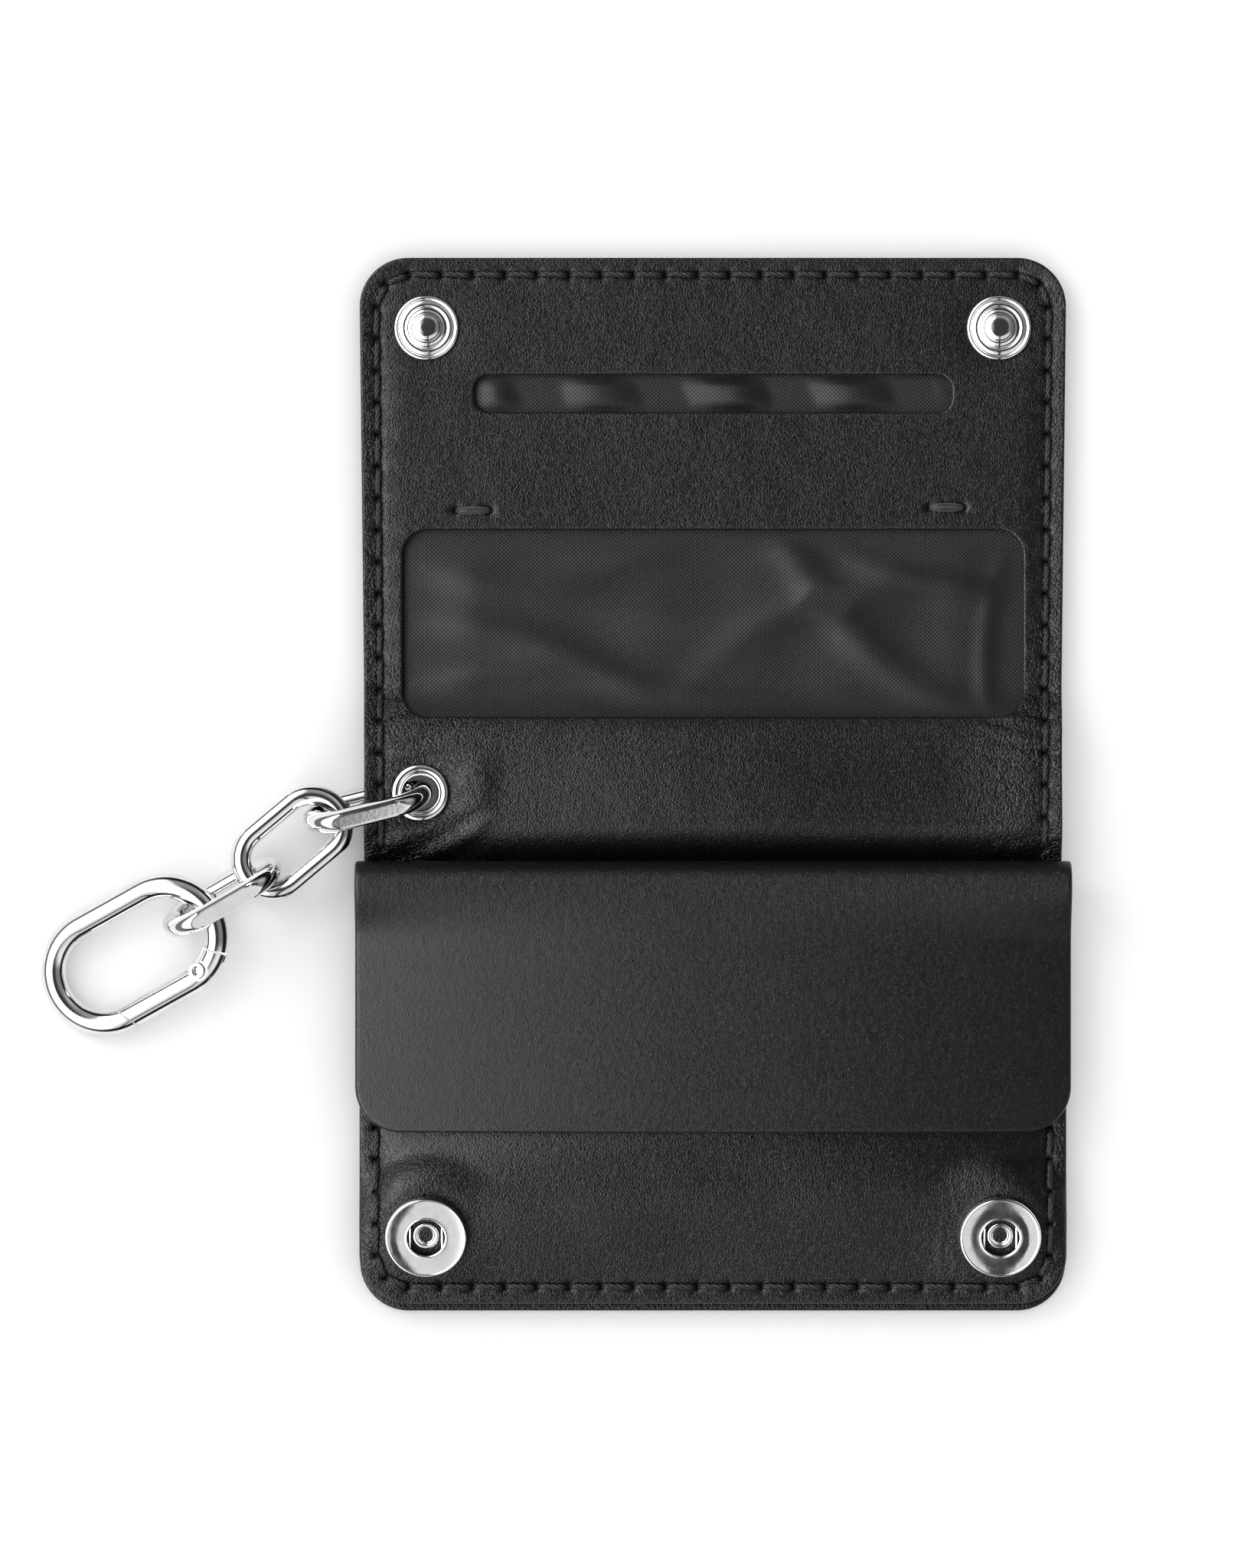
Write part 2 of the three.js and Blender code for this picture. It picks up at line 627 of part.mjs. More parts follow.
// ---- chain ----
class Loop extends THREE.Curve {
  constructor(straight, radius) {
    super();
    this.straight = straight;
    this.radius = radius;
  }

  // Once round the loop, starting at the middle of one straight side.
  getPoint(t, target = new THREE.Vector3()) {
    const arc = Math.PI * this.radius;
    const side = 2 * this.straight;
    const lap = 2 * arc + 2 * side;
    const s = ((((t % 1) + 1) % 1) * lap + this.straight) % lap;
    if (s < side) {
      return target.set(s - this.straight, -this.radius, 0);
    }
    if (s < side + arc) {
      const a = (s - side) / this.radius - Math.PI / 2;
      return target.set(this.straight + this.radius * Math.cos(a), this.radius * Math.sin(a), 0);
    }
    if (s < 2 * side + arc) {
      return target.set(this.straight - (s - side - arc), this.radius, 0);
    }
    const a = (s - 2 * side - arc) / this.radius + Math.PI / 2;
    return target.set(-this.straight + this.radius * Math.cos(a), this.radius * Math.sin(a), 0);
  }
}

function loopOfWire(length, width, radius, steps, sides) {
  const bend = width / 2 - radius;
  return new THREE.TubeGeometry(new Loop((length - width) / 2, bend), steps, radius, sides, true);
}

function linkGeometry() {
  const tube = loopOfWire(LINK_LENGTH, LINK_WIDTH + 2 * LINK_FLAT, LINK_WIRE, 32, 12);
  return meet(tube, new THREE.BoxGeometry(2 * LINK_LENGTH, LINK_WIDTH, 4 * LINK_WIRE));
}

function placeLink(name, { at, turn, height }) {
  const group = new THREE.Group();
  const flats = degrees(EDGE_LINK_TILT);
  const bar = LINK_WIRE - LINK_FLAT;
  const onEdge = (LINK_WIDTH / 2) * Math.cos(flats) + bar * Math.sin(flats) + TABLE_GAP;
  group.position.set(...at, height ?? onEdge);
  group.rotation.z = degrees(turn);
  wallet.add(group);
  const link = add(name, linkGeometry(), nickel, group);
  if (height === undefined) {
    link.rotation.x = Math.PI / 2 + flats;
  }
}

// ---- carabiner, built flat round its own centre with its near end at +X ----
const RING_BEND = RING_WIDTH / 2 - RING_WIRE;
const RING_STRAIGHT = (RING_LENGTH - RING_WIDTH) / 2;
const RIVET = [
  RING_STRAIGHT + (RING_BEND - RIVET_INSET) * Math.cos(degrees(RIVET_ANGLE)),
  (RING_BEND - RIVET_INSET) * Math.sin(degrees(RIVET_ANGLE)),
];

// The part of the ring that the gate takes, with its two seams moved out by a gap.
function gateRegion(gap) {
  const seamX = (y) => NOSE_SEAM[0] - (y - NOSE_SEAM[1]) * NOSE_SLANT - gap;
  const angle = degrees(HINGE_SEAM_ANGLE) + gap / RING_BEND;
  const ray = (reach) => [
    RING_STRAIGHT + reach * Math.cos(angle),
    reach * Math.sin(angle),
  ];
  const low = -RING_WIDTH / 2 - 2;
  const high = -RING_BEND + 2 * RING_WIRE;
  const [nearX, nearY] = ray(RING_BEND - 1.6 * RING_WIRE);
  const [farX, farY] = ray(RING_BEND + 3 * RING_WIRE);
  const shape = new THREE.Shape();
  shape.moveTo(seamX(high), high);
  shape.lineTo(seamX(low), low);
  shape.lineTo(farX, low);
  shape.lineTo(farX, farY);
  shape.lineTo(nearX, nearY);
  return prism(shape, -4, 4);
}

function tongueShape(radius, reach) {
  const shape = new THREE.Shape();
  const angle = degrees(HINGE_SEAM_ANGLE);
  const toSeam = [
    RING_STRAIGHT + RING_BEND * Math.cos(angle) - RIVET[0],
    RING_BEND * Math.sin(angle) - RIVET[1],
  ];
  const along = Math.atan2(toSeam[1], toSeam[0]);
  const [c, s] = [Math.cos(along), Math.sin(along)];
  shape.absarc(RIVET[0], RIVET[1], radius, along + Math.PI / 2, along + 1.5 * Math.PI);
  shape.lineTo(RIVET[0] + radius * s + reach * c, RIVET[1] - radius * c + reach * s);
  shape.lineTo(RIVET[0] - radius * s + reach * c, RIVET[1] + radius * c + reach * s);
  return shape;
}

function carabiner() {
  const whole = new THREE.Group();
  whole.rotation.order = 'ZYX';
  whole.rotation.z = degrees(RING.turn);
  whole.rotation.y = -degrees(RING.pitch);
  const rise = (RING_STRAIGHT + RING_BEND) * Math.sin(degrees(RING.pitch));
  whole.position.set(...RING.at, RING_WIRE + rise + TABLE_GAP);
  wallet.add(whole);
  const ring = loopOfWire(RING_LENGTH, RING_WIDTH, RING_WIRE, 48, 14);
  const pin = rod(RIVET_RADIUS + CUT_GAP, -4, 4, ...RIVET, 16);
  const seat = RING_WIRE - RIVET_HEAD_DEPTH;
  const tongue = prism(tongueShape(TONGUE_RADIUS, 5), -TONGUE / 2, TONGUE / 2, 8);
  const frame = join(cut(ring, [gateRegion(CUT_GAP)]), [meet(tongue, ring)]);
  add('carabiner_body', cut(frame, [pin]), nickel, whole);
  const half = TONGUE / 2 + CUT_GAP;
  const slot = prism(tongueShape(TONGUE_RADIUS + CUT_GAP + 0.15, 8), -half, half, 8);
  const head = RIVET_HEAD + CUT_GAP;
  const springAt = [RIVET[0] - TONGUE_RADIUS - 2 * CUT_GAP, -RING_BEND];
  const bore = new THREE.CylinderGeometry(GATE_SPRING_RADIUS + CUT_GAP,
    GATE_SPRING_RADIUS + CUT_GAP, GATE_SPRING_LENGTH + 2, 10);
  bore.rotateZ(Math.PI / 2).translate(springAt[0] - GATE_SPRING_LENGTH / 2 + 0.5, springAt[1], 0);
  const gate = cut(meet(ring, gateRegion(0)), [
    slot,
    pin,
    bore,
    rod(head, seat, 4, ...RIVET, 20),
    rod(head, -4, -seat, ...RIVET, 20),
  ]);
  add('gate', gate, nickel, whole);
  const spring = new THREE.CylinderGeometry(GATE_SPRING_RADIUS, GATE_SPRING_RADIUS,
    GATE_SPRING_LENGTH, 10);
  spring.rotateZ(Math.PI / 2).translate(springAt[0] - GATE_SPRING_LENGTH / 2, springAt[1], 0);
  add('gate_spring', spring, nickel, whole);
  const profile = [
    [0, -RING_WIRE],
    [RIVET_HEAD - 0.1, -RING_WIRE],
    [RIVET_HEAD, -seat - 0.1],
    [RIVET_HEAD, -seat - 0.05],
    [RIVET_RADIUS, -seat - 0.05],
    [RIVET_RADIUS, seat + 0.05],
    [RIVET_HEAD, seat + 0.05],
    [RIVET_HEAD, seat + 0.25],
    [RIVET_HEAD - 0.2, RING_WIRE],
    [RIVET_HEAD - 0.6, RING_WIRE - 0.05],
    [0, RING_WIRE - 0.25],
  ];
  add('gate_rivet', lathe(profile, 20).translate(...RIVET, 0), nickel, whole);
}

coverOfLowerHalf();
backOfCoinPocket();
frontOfCoinPocket();
flap();
spine();
cardHalf();
stitching();
for (const side of Object.keys(SIDES)) {
  snapSocket(side);
  snapStud(side);
}
placeLink('link_1', LINK_1);
placeLink('link_2', LINK_2);
placeLink('link_3', LINK_3);
carabiner();

export default wallet;
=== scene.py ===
import json
import math

import bpy
import numpy as np
from bpy.props import FloatProperty, FloatVectorProperty, PointerProperty
from mathutils import Matrix, Vector
from mathutils.geometry import delaunay_2d_cdt


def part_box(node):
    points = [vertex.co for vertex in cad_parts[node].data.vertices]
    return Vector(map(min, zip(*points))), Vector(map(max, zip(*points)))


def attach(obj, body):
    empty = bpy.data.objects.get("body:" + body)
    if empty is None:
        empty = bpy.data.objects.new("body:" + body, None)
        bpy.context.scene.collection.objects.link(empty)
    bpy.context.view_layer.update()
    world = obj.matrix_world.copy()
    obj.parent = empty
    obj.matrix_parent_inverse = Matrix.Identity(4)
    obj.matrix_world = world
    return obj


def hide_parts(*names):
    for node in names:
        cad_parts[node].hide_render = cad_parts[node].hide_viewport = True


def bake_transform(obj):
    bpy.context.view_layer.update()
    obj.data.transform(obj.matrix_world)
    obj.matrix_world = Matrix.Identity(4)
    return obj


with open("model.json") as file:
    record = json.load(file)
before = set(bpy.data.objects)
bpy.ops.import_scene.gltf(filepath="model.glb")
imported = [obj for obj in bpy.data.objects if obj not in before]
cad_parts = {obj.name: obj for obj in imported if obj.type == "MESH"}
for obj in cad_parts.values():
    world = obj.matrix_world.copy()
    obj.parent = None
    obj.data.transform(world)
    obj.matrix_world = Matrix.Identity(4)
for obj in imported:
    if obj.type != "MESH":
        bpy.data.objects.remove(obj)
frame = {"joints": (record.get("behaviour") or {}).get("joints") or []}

bl_info = {
    "name": "Chain Wallet",
    "version": (1, 0, 0),
    "blender": (4, 5, 0),
    "location": "View3D > Sidebar > Wallet",
    "description": "Leather, stitching, lining and hardware of a bifold chain wallet",
    "category": "Object",
}

# ---- the frame: lengths below are in millimetres from the middle of the spine ----
MM = 0.001
JOINTS = {joint["name"]: joint for joint in frame["joints"]}
LOW_FOLD = Vector(JOINTS["lower_fold"]["pos_m"])
HIGH_FOLD = Vector(JOINTS["upper_fold"]["pos_m"])
SPINE_Y = (LOW_FOLD.y + HIGH_FOLD.y) / 2


def middle(*nodes):
    """Centre of the box round CAD nodes, in millimetres from the middle of the spine."""
    lows, highs = zip(*(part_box(node) for node in nodes))
    low = np.min([tuple(corner) for corner in lows], axis=0)
    high = np.max([tuple(corner) for corner in highs], axis=0)
    centre = (low + high) / 2
    return np.array([centre[0], centre[1] - SPINE_Y, centre[2]]) / MM


def corner(node, which):
    """Lowest (0) or highest (1) corner of a CAD node, in millimetres from the spine's middle."""
    x, y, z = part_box(node)[which]
    return np.array([x, y - SPINE_Y, z]) / MM


def in_row(point):
    """A place in millimetres from the spine's middle, as a place in the frame."""
    return (point[0] * MM, point[1] * MM + SPINE_Y, point[2] * MM)


FOLD = (HIGH_FOLD.y - LOW_FOLD.y) / 2 / MM
COVER = 1.4
PANEL = 1.2
FRONT = 1.3
PLY_GAP = 0.25
FLAP_LEATHER = 1.4
PANEL_BASE = COVER + PLY_GAP
PANEL_TOP = PANEL_BASE + PANEL
ARCH = corner("cover_spine", 0)[2]
UPPER_REST = corner("cover_upper", 0)[2]
LOWER_RAMP = 8.0
UPPER_RAMP = 9.0
HALF_WIDTH = 54.3
WAIST = 53.5
CORNER = 7.5
TOP_EDGE = corner("cover_upper", 1)[1]
COVER_EDGE = corner("cover_lower", 0)[1]
POCKET_EDGE = corner("pocket_front", 0)[1]
MOUTH = corner("pocket_front", 1)[1]
FRONT_EDGE_TOP = PANEL_TOP + 0.3 + FRONT
POUCH = 4.0
CLOSED_WEDGE = math.radians(13)
SOCKETS = {side: middle(f"socket_cap_{side}") for side in ("left", "right")}
STUDS = {side: middle(f"stud_{side}") for side in ("left", "right")}
SNAP_X = 44.0
SOCKET_Y = -69.7
SEAT_HEIGHT = 6.6
EYELET = np.array([JOINTS["link_1_swivel"]["pos_m"][0] / MM,
                   (JOINTS["link_1_swivel"]["pos_m"][1] - SPINE_Y) / MM])
FLAP_EDGE = corner("pocket_flap", 0)[1]
FLAP_TOP = corner("pocket_flap", 1)[2]
FLAP_HALF_WIDTH = 54.9
FLAP_CORNER = 7.0
FLAP_FOLD_Y = corner("flap_back", 1)[1]
ROLL_BASE = corner("flap_back", 0)[2]
ROLL = (FLAP_TOP - ROLL_BASE) / 2
ROLL_Y = FLAP_FOLD_Y - ROLL
STITCH_INSET = 2.6
PITCH = 4.9


# ---- small mathematics ----
def smooth(t):
    s = np.clip(t, 0, 1)
    return s * s * (3 - 2 * s)


def bell(distance, width):
    return np.exp(-((distance / width) ** 2))


def ripple(x, y, wavelength, seed, count=7):
    """Soft irregular waves from -1 to 1, the same each time for a seed."""
    rng = np.random.default_rng(seed)
    total = np.zeros(np.shape(x))
    for _ in range(count):
        turn = rng.uniform(0, 2 * math.pi)
        scale = 2 * math.pi / (wavelength * rng.uniform(0.7, 1.5))
        phase = rng.uniform(0, 2 * math.pi)
        total += np.sin(scale * (x * math.cos(turn) + y * math.sin(turn)) + phase)
    return total / count


def lift(y):
    """Height of the cover's underside over the table."""
    low = ARCH * (1 - smooth((-FOLD - y) / LOWER_RAMP))
    high = UPPER_REST + (ARCH - UPPER_REST) * (1 - smooth((y - FOLD) / UPPER_RAMP))
    return np.where(y < 0, low, high)


def spine_crown(x, y):
    """How far the spine's middle bulges above its sides."""
    return 1.3 * (1 - smooth((np.abs(x) - 3) / 37)) * bell(y + 1, 9)


# ---- outlines ----
def arc(cx, cy, radius, start, end, step=0.5):
    count = max(4, int(abs(end - start) * radius / step))
    angles = np.linspace(start, end, count + 1)
    return [(cx + radius * math.cos(a), cy + radius * math.sin(a)) for a in angles]


def refine(points, step):
    """A closed loop of points with no gap longer than step."""
    loop = []
    for a, b in zip(points, points[1:] + points[:1]):
        length = math.dist(a, b)
        if length < 1e-6:
            continue
        count = max(1, round(length / step))
        for i in range(count):
            t = i / count
            loop.append((a[0] + (b[0] - a[0]) * t, a[1] + (b[1] - a[1]) * t))
    return loop


def half_outline(near, far, near_half, far_half, radius, step=0.8):
    """A wallet half from a straight near edge to a far edge with round corners, anticlockwise."""
    quarter = math.pi / 2
    if far > near:
        points = [(-near_half, near), (near_half, near)]
        points += arc(far_half - radius, far - radius, radius, 0, quarter)
        points += arc(-far_half + radius, far - radius, radius, quarter, 2 * quarter)
    else:
        points = [(near_half, near), (-near_half, near)]
        points += arc(-far_half + radius, far + radius, radius, 2 * quarter, 3 * quarter)
        points += arc(far_half - radius, far + radius, radius, 3 * quarter, 4 * quarter)
    return refine(points, step)


def rounded_hole(x, y, length, width, radius, step=0.5):
    """A rounded rectangle, clockwise, so that the leather is on its left."""
    quarter = math.pi / 2
    w, h = length / 2 - radius, width / 2 - radius
    points = []
    for i, (cx, cy) in enumerate(((x + w, y + h), (x - w, y + h), (x - w, y - h), (x + w, y - h))):
        points += arc(cx, cy, radius, i * quarter, (i + 1) * quarter)
    return refine(points, step)[::-1]


def inside(points, loop):
    """Which points lie in a closed loop."""
    x, y = points[:, 0], points[:, 1]
    result = np.zeros(len(points), bool)
    px, py = loop[-1]
    for qx, qy in loop:
        if py != qy:
            crosses = (py > y) != (qy > y)
            at = px + (y - py) * (qx - px) / (qy - py)
            result ^= crosses & (x < at)
        px, py = qx, qy
    return result


def distance_to(points, loops, seam=None):
    """Distance from each point to the nearest edge of any loop, leaving out edges on a seam."""
    nearest = np.full(len(points), 1e9)
    for loop in loops:
        a = np.array(loop)
        b = np.roll(a, -1, axis=0)
        for p, q in zip(a, b):
            if seam is not None and max(abs(p[1] - seam), abs(q[1] - seam)) < 1e-6:
                continue
            along = q - p
            t = np.clip(((points - p) @ along) / max(along @ along, 1e-12), 0, 1)
            gap = points - p - t[:, None] * along
            nearest = np.minimum(nearest, np.hypot(gap[:, 0], gap[:, 1]))
    return nearest


# ---- meshes ----
def volume(points, faces):
    """Signed volume of a closed mesh: negative where its faces look inward."""
    fans = [(face[0], face[i], face[i + 1]) for face in faces for i in range(1, len(face) - 1)]
    a, b, c = (points[np.array(fans)[:, i]] for i in range(3))
    return np.einsum("ij,ij->i", a, np.cross(b, c)).sum() / 6


def mesh_object(name, points, faces, sharp=None, **masks):
    """A smooth mesh object from points in millimetres, with a float mask for each keyword."""
    points = np.array(points, float)
    if volume(points, faces) < 0:
        faces = [tuple(face)[::-1] for face in faces]
    places = points * MM
    places[:, 1] += SPINE_Y
    mesh = bpy.data.meshes.new(name)
    mesh.from_pydata(places.tolist(), [], [tuple(int(i) for i in face) for face in faces])
    mesh.update()
    mesh.shade_smooth()
    if sharp is not None:
        mesh.set_sharp_from_angle(angle=math.radians(sharp))
    for mask, values in masks.items():
        attribute = mesh.attributes.new(mask, "FLOAT", "POINT")
        attribute.data.foreach_set("value", np.asarray(values, np.float32))
    piece = bpy.data.objects.new(name, mesh)
    bpy.context.scene.collection.objects.link(piece)
    return piece


def finish_piece(piece, material, slot_name, *nodes):
    piece.data.materials.clear()
    piece.data.materials.append(material)
    if nodes:
        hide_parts(*nodes)
    return piece


RINGS = (0.0, 0.09, 0.22, 0.42, 0.75)


def ring_points(loop, depth):
    """The loop moved to its left by depth."""
    points = np.array(loop)
    ahead = np.roll(points, -1, axis=0) - np.roll(points, 1, axis=0)
    ahead /= np.maximum(np.hypot(ahead[:, 0], ahead[:, 1]), 1e-9)[:, None]
    return points + depth * np.stack([-ahead[:, 1], ahead[:, 0]], axis=1)


def skin(name, outline, openings, place, thickness, spacing=0.8, rounding=0.4, pits=(),
         strain=None, seam=None):
    """A closed sheet of leather. Its outline is anticlockwise and its openings clockwise.

    place(x, y, depth) gives where a point of the flat sheet lies, at a depth below its face.
    pits are (x, y, radius, depth) dents, such as stitch holes. An edge along y = seam is left
    square, where another sheet carries on.
    """
    loops = [outline, *openings]
    points = [np.array(loop) for loop in loops]
    count = 0
    edges = []
    for loop in loops:
        edges += [(count + i, count + (i + 1) % len(loop)) for i in range(len(loop))]
        count += len(loop)
    for depth in RINGS[1:]:
        points += [ring_points(loop, depth) for loop in loops]
    low, high = np.min(outline, axis=0), np.max(outline, axis=0)
    columns = np.arange(low[0], high[0], spacing)
    rows = np.arange(low[1], high[1], spacing * 0.87)
    x, y = np.meshgrid(columns, rows)
    x[::2] += spacing / 2
    grid = np.stack([x.ravel(), y.ravel()], axis=1)
    keep = inside(grid, outline)
    for opening in openings:
        keep &= ~inside(grid, opening)
    grid = grid[keep]
    grid = grid[distance_to(grid, loops) > RINGS[-1] + spacing * 0.4]
    for px, py, radius, _ in pits:
        grid = grid[np.hypot(grid[:, 0] - px, grid[:, 1] - py) > 2.1 * radius]
        for share, sides in ((0, 1), (0.45, 6), (0.8, 10), (1.1, 12), (1.6, 12)):
            turns = np.arange(sides) * 2 * math.pi / sides
            points.append(np.stack([px + share * radius * np.cos(turns),
                                    py + share * radius * np.sin(turns)], axis=1))
    points.append(grid)
    flat = np.concatenate(points)
    result = delaunay_2d_cdt([Vector(p) for p in flat.tolist()], edges, [], 0, 1e-5)
    flat = np.array([tuple(p) for p in result[0]])
    triangles = np.array(result[2])
    centres = flat[triangles].mean(axis=1)
    keep = inside(centres, outline)
    for opening in openings:
        keep &= ~inside(centres, opening)
    triangles = triangles[keep]
    a, b, c = (flat[triangles[:, i]] for i in range(3))
    area = (b[:, 0] - a[:, 0]) * (c[:, 1] - a[:, 1]) - (b[:, 1] - a[:, 1]) * (c[:, 0] - a[:, 0])
    triangles = np.where((area < 0)[:, None], triangles[:, ::-1], triangles)
    used = np.unique(triangles)
    renumber = np.zeros(len(flat), int)
    renumber[used] = np.arange(len(used))
    flat, triangles = flat[used], renumber[triangles]
    x, y = flat[:, 0], flat[:, 1]
    edge = distance_to(flat, loops, seam)
    within = np.clip(edge, 0, rounding)
    drop = rounding - np.sqrt(rounding**2 - (rounding - within) ** 2)
    hole = np.zeros(len(flat))
    for px, py, radius, depth in pits:
        hole = np.maximum(hole, depth * bell(np.hypot(x - px, y - py), radius * 0.8))
    top = place(x, y, drop + np.minimum(hole, thickness * 0.7))
    bottom = place(x, y, thickness - drop)
    n = len(flat)
    directed = np.concatenate([triangles[:, [0, 1]], triangles[:, [1, 2]], triangles[:, [2, 0]]])
    present = set(map(tuple, directed.tolist()))
    rim = [(i, j) for i, j in present if (j, i) not in present]
    faces = triangles.tolist() + (triangles[:, ::-1] + n).tolist()
    faces += [(j, i, i + n, j + n) for i, j in sorted(rim)]
    # Painted highlight: a mask along every edge, which the leather paints paler as a highlight on
    # the rims.
    rim_highlight = np.tile(1 - smooth(edge / 0.9), 2)
    worn = np.zeros(n) if strain is None else strain(x, y)
    # The pit mask marks the dents of the stitch and tack holes, which the leather paints as shade.
    return mesh_object(name, np.concatenate([top, bottom]), faces, sharp=70, rim=rim_highlight,
                       strain=np.tile(worn, 2), pit=np.tile(smooth(hole * 2.2), 2))


def on_surface(surface):
    """A place function for a sheet that lies over a height function."""
    return lambda x, y, depth: np.stack([x, y, surface(x, y) - depth], axis=1)


def lathe(profile, segments=96, closed=False):
    """Points and faces of a profile of (radius, height) turned round the Z axis."""
    turns = np.arange(segments) * 2 * math.pi / segments
    points, rows = [], []
    for radius, height in profile:
        if radius < 1e-6:
            rows.append([len(points)] * segments)
            points.append((0, 0, height))
        else:
            rows.append(list(range(len(points), len(points) + segments)))
            points += [(radius * math.cos(a), radius * math.sin(a), height) for a in turns]
    faces = []
    pairs = list(zip(rows, rows[1:])) + ([(rows[-1], rows[0])] if closed else [])
    for below, above in pairs:
        for i in range(segments):
            j = (i + 1) % segments
            face = list(dict.fromkeys((below[i], below[j], above[j], above[i])))
            if len(face) > 2:
                faces.append(face)
    return np.array(points), faces


def soften(profile, radius=0.12, steps=3, closed=False):
    """The profile with its corners rounded."""
    points = [np.array(p, float) for p in profile]
    count = len(points)
    result = []
    for i, here in enumerate(points):
        if not closed and i in (0, count - 1):
            result.append(tuple(here))
            continue
        before, after = points[i - 1], points[(i + 1) % count]
        back, on = before - here, after - here
        reach = min(radius, np.linalg.norm(back) * 0.45, np.linalg.norm(on) * 0.45)
        start = here + back / max(np.linalg.norm(back), 1e-9) * reach
        end = here + on / max(np.linalg.norm(on), 1e-9) * reach
        for k in range(steps + 1):
            t = k / steps
            result.append(tuple((1 - t) ** 2 * start + 2 * t * (1 - t) * here + t * t * end))
    return result


def moved(points, matrix):
    return np.array([matrix @ Vector(p) for p in points])


def joined(parts):
    """Several (points, faces) lists as one."""
    points, faces, count = [], [], 0
    for some_points, some_faces in parts:
        points.append(np.asarray(some_points))
        faces += [tuple(i + count for i in face) for face in some_faces]
        count += len(some_points)
    return np.concatenate(points), faces


def tube(path, radius, sides=8, closed=False):
    """Points and faces of a round tube along a path; radius is one value or one for each point."""
    path = np.array(path, float)
    count = len(path)
    radii = np.broadcast_to(radius, count)
    if closed:
        ahead = np.roll(path, -1, axis=0) - np.roll(path, 1, axis=0)
    else:
        ahead = np.gradient(path, axis=0)
    ahead /= np.linalg.norm(ahead, axis=1)[:, None]
    up = np.array([0, 0, 1.0])
    across = np.cross(ahead, up)
    flat = np.linalg.norm(across, axis=1) < 1e-6
    across[flat] = (1, 0, 0)
    across /= np.linalg.norm(across, axis=1)[:, None]
    raised = np.cross(across, ahead)
    turns = np.arange(sides) * 2 * math.pi / sides
    points = (path[:, None] + radii[:, None, None]
              * (across[:, None] * np.cos(turns)[None, :, None]
                 + raised[:, None] * np.sin(turns)[None, :, None])).reshape(-1, 3)
    faces = []
    for i in range(count if closed else count - 1):
        j = (i + 1) % count
        for k in range(sides):
            m = (k + 1) % sides
            faces.append((i * sides + k, j * sides + k, j * sides + m, i * sides + m))
    if not closed:
        faces.append(tuple(range(sides)))
        faces.append(tuple(range((count - 1) * sides, count * sides))[::-1])
    return points, faces


# ---- shader groups ----
def new_group(name, inputs, outputs):
    group = bpy.data.node_groups.new(name, "ShaderNodeTree")
    for label, value in inputs.items():
        socket = group.interface.new_socket(label, in_out="INPUT", socket_type="NodeSocketFloat")
        socket.default_value = value
    for label, kind in outputs.items():
        group.interface.new_socket(label, in_out="OUTPUT", socket_type=kind)
    ends = group.nodes.new("NodeGroupInput"), group.nodes.new("NodeGroupOutput")
    return (group, *ends)


def wire_up(tree, kind, settings=None, **links):
    """A node in a tree, with its inputs set or linked by name or position."""
    node = tree.nodes.new(kind)
    for key, value in (settings or {}).items():
        setattr(node, key, value)
    for key, value in links.items():
        index = int(key[1:]) if key[0] == "i" and key[1:].isdigit() else key.replace("_", " ")
        socket = node.inputs[index]
        if isinstance(value, bpy.types.NodeSocket):
            tree.links.new(value, socket)
        else:
            socket.default_value = value
    return node


def maths(tree, operation, a, b=0.0, clamp=False):
    node = wire_up(tree, "ShaderNodeMath", {"operation": operation, "use_clamp": clamp}, i0=a, i1=b)
    return node.outputs[0]


def mixed(tree, factor, a, b):
    node = wire_up(tree, "ShaderNodeMix", {"data_type": "RGBA"}, i0=factor, i6=a, i7=b)
    return node.outputs[2]


def ramp(tree, factor, low, high, from_value=0.0, to_value=1.0):
    node = wire_up(tree, "ShaderNodeMapRange", {"interpolation_type": "SMOOTHSTEP"}, i0=factor,
                   i1=low, i2=high, i3=from_value, i4=to_value)
    return node.outputs[0]


def places(tree):
    return tree.nodes.new("ShaderNodeTexCoord").outputs["Object"]


def mask(tree, name):
    node = tree.nodes.new("ShaderNodeAttribute")
    node.attribute_name = name
    return node.outputs["Fac"]


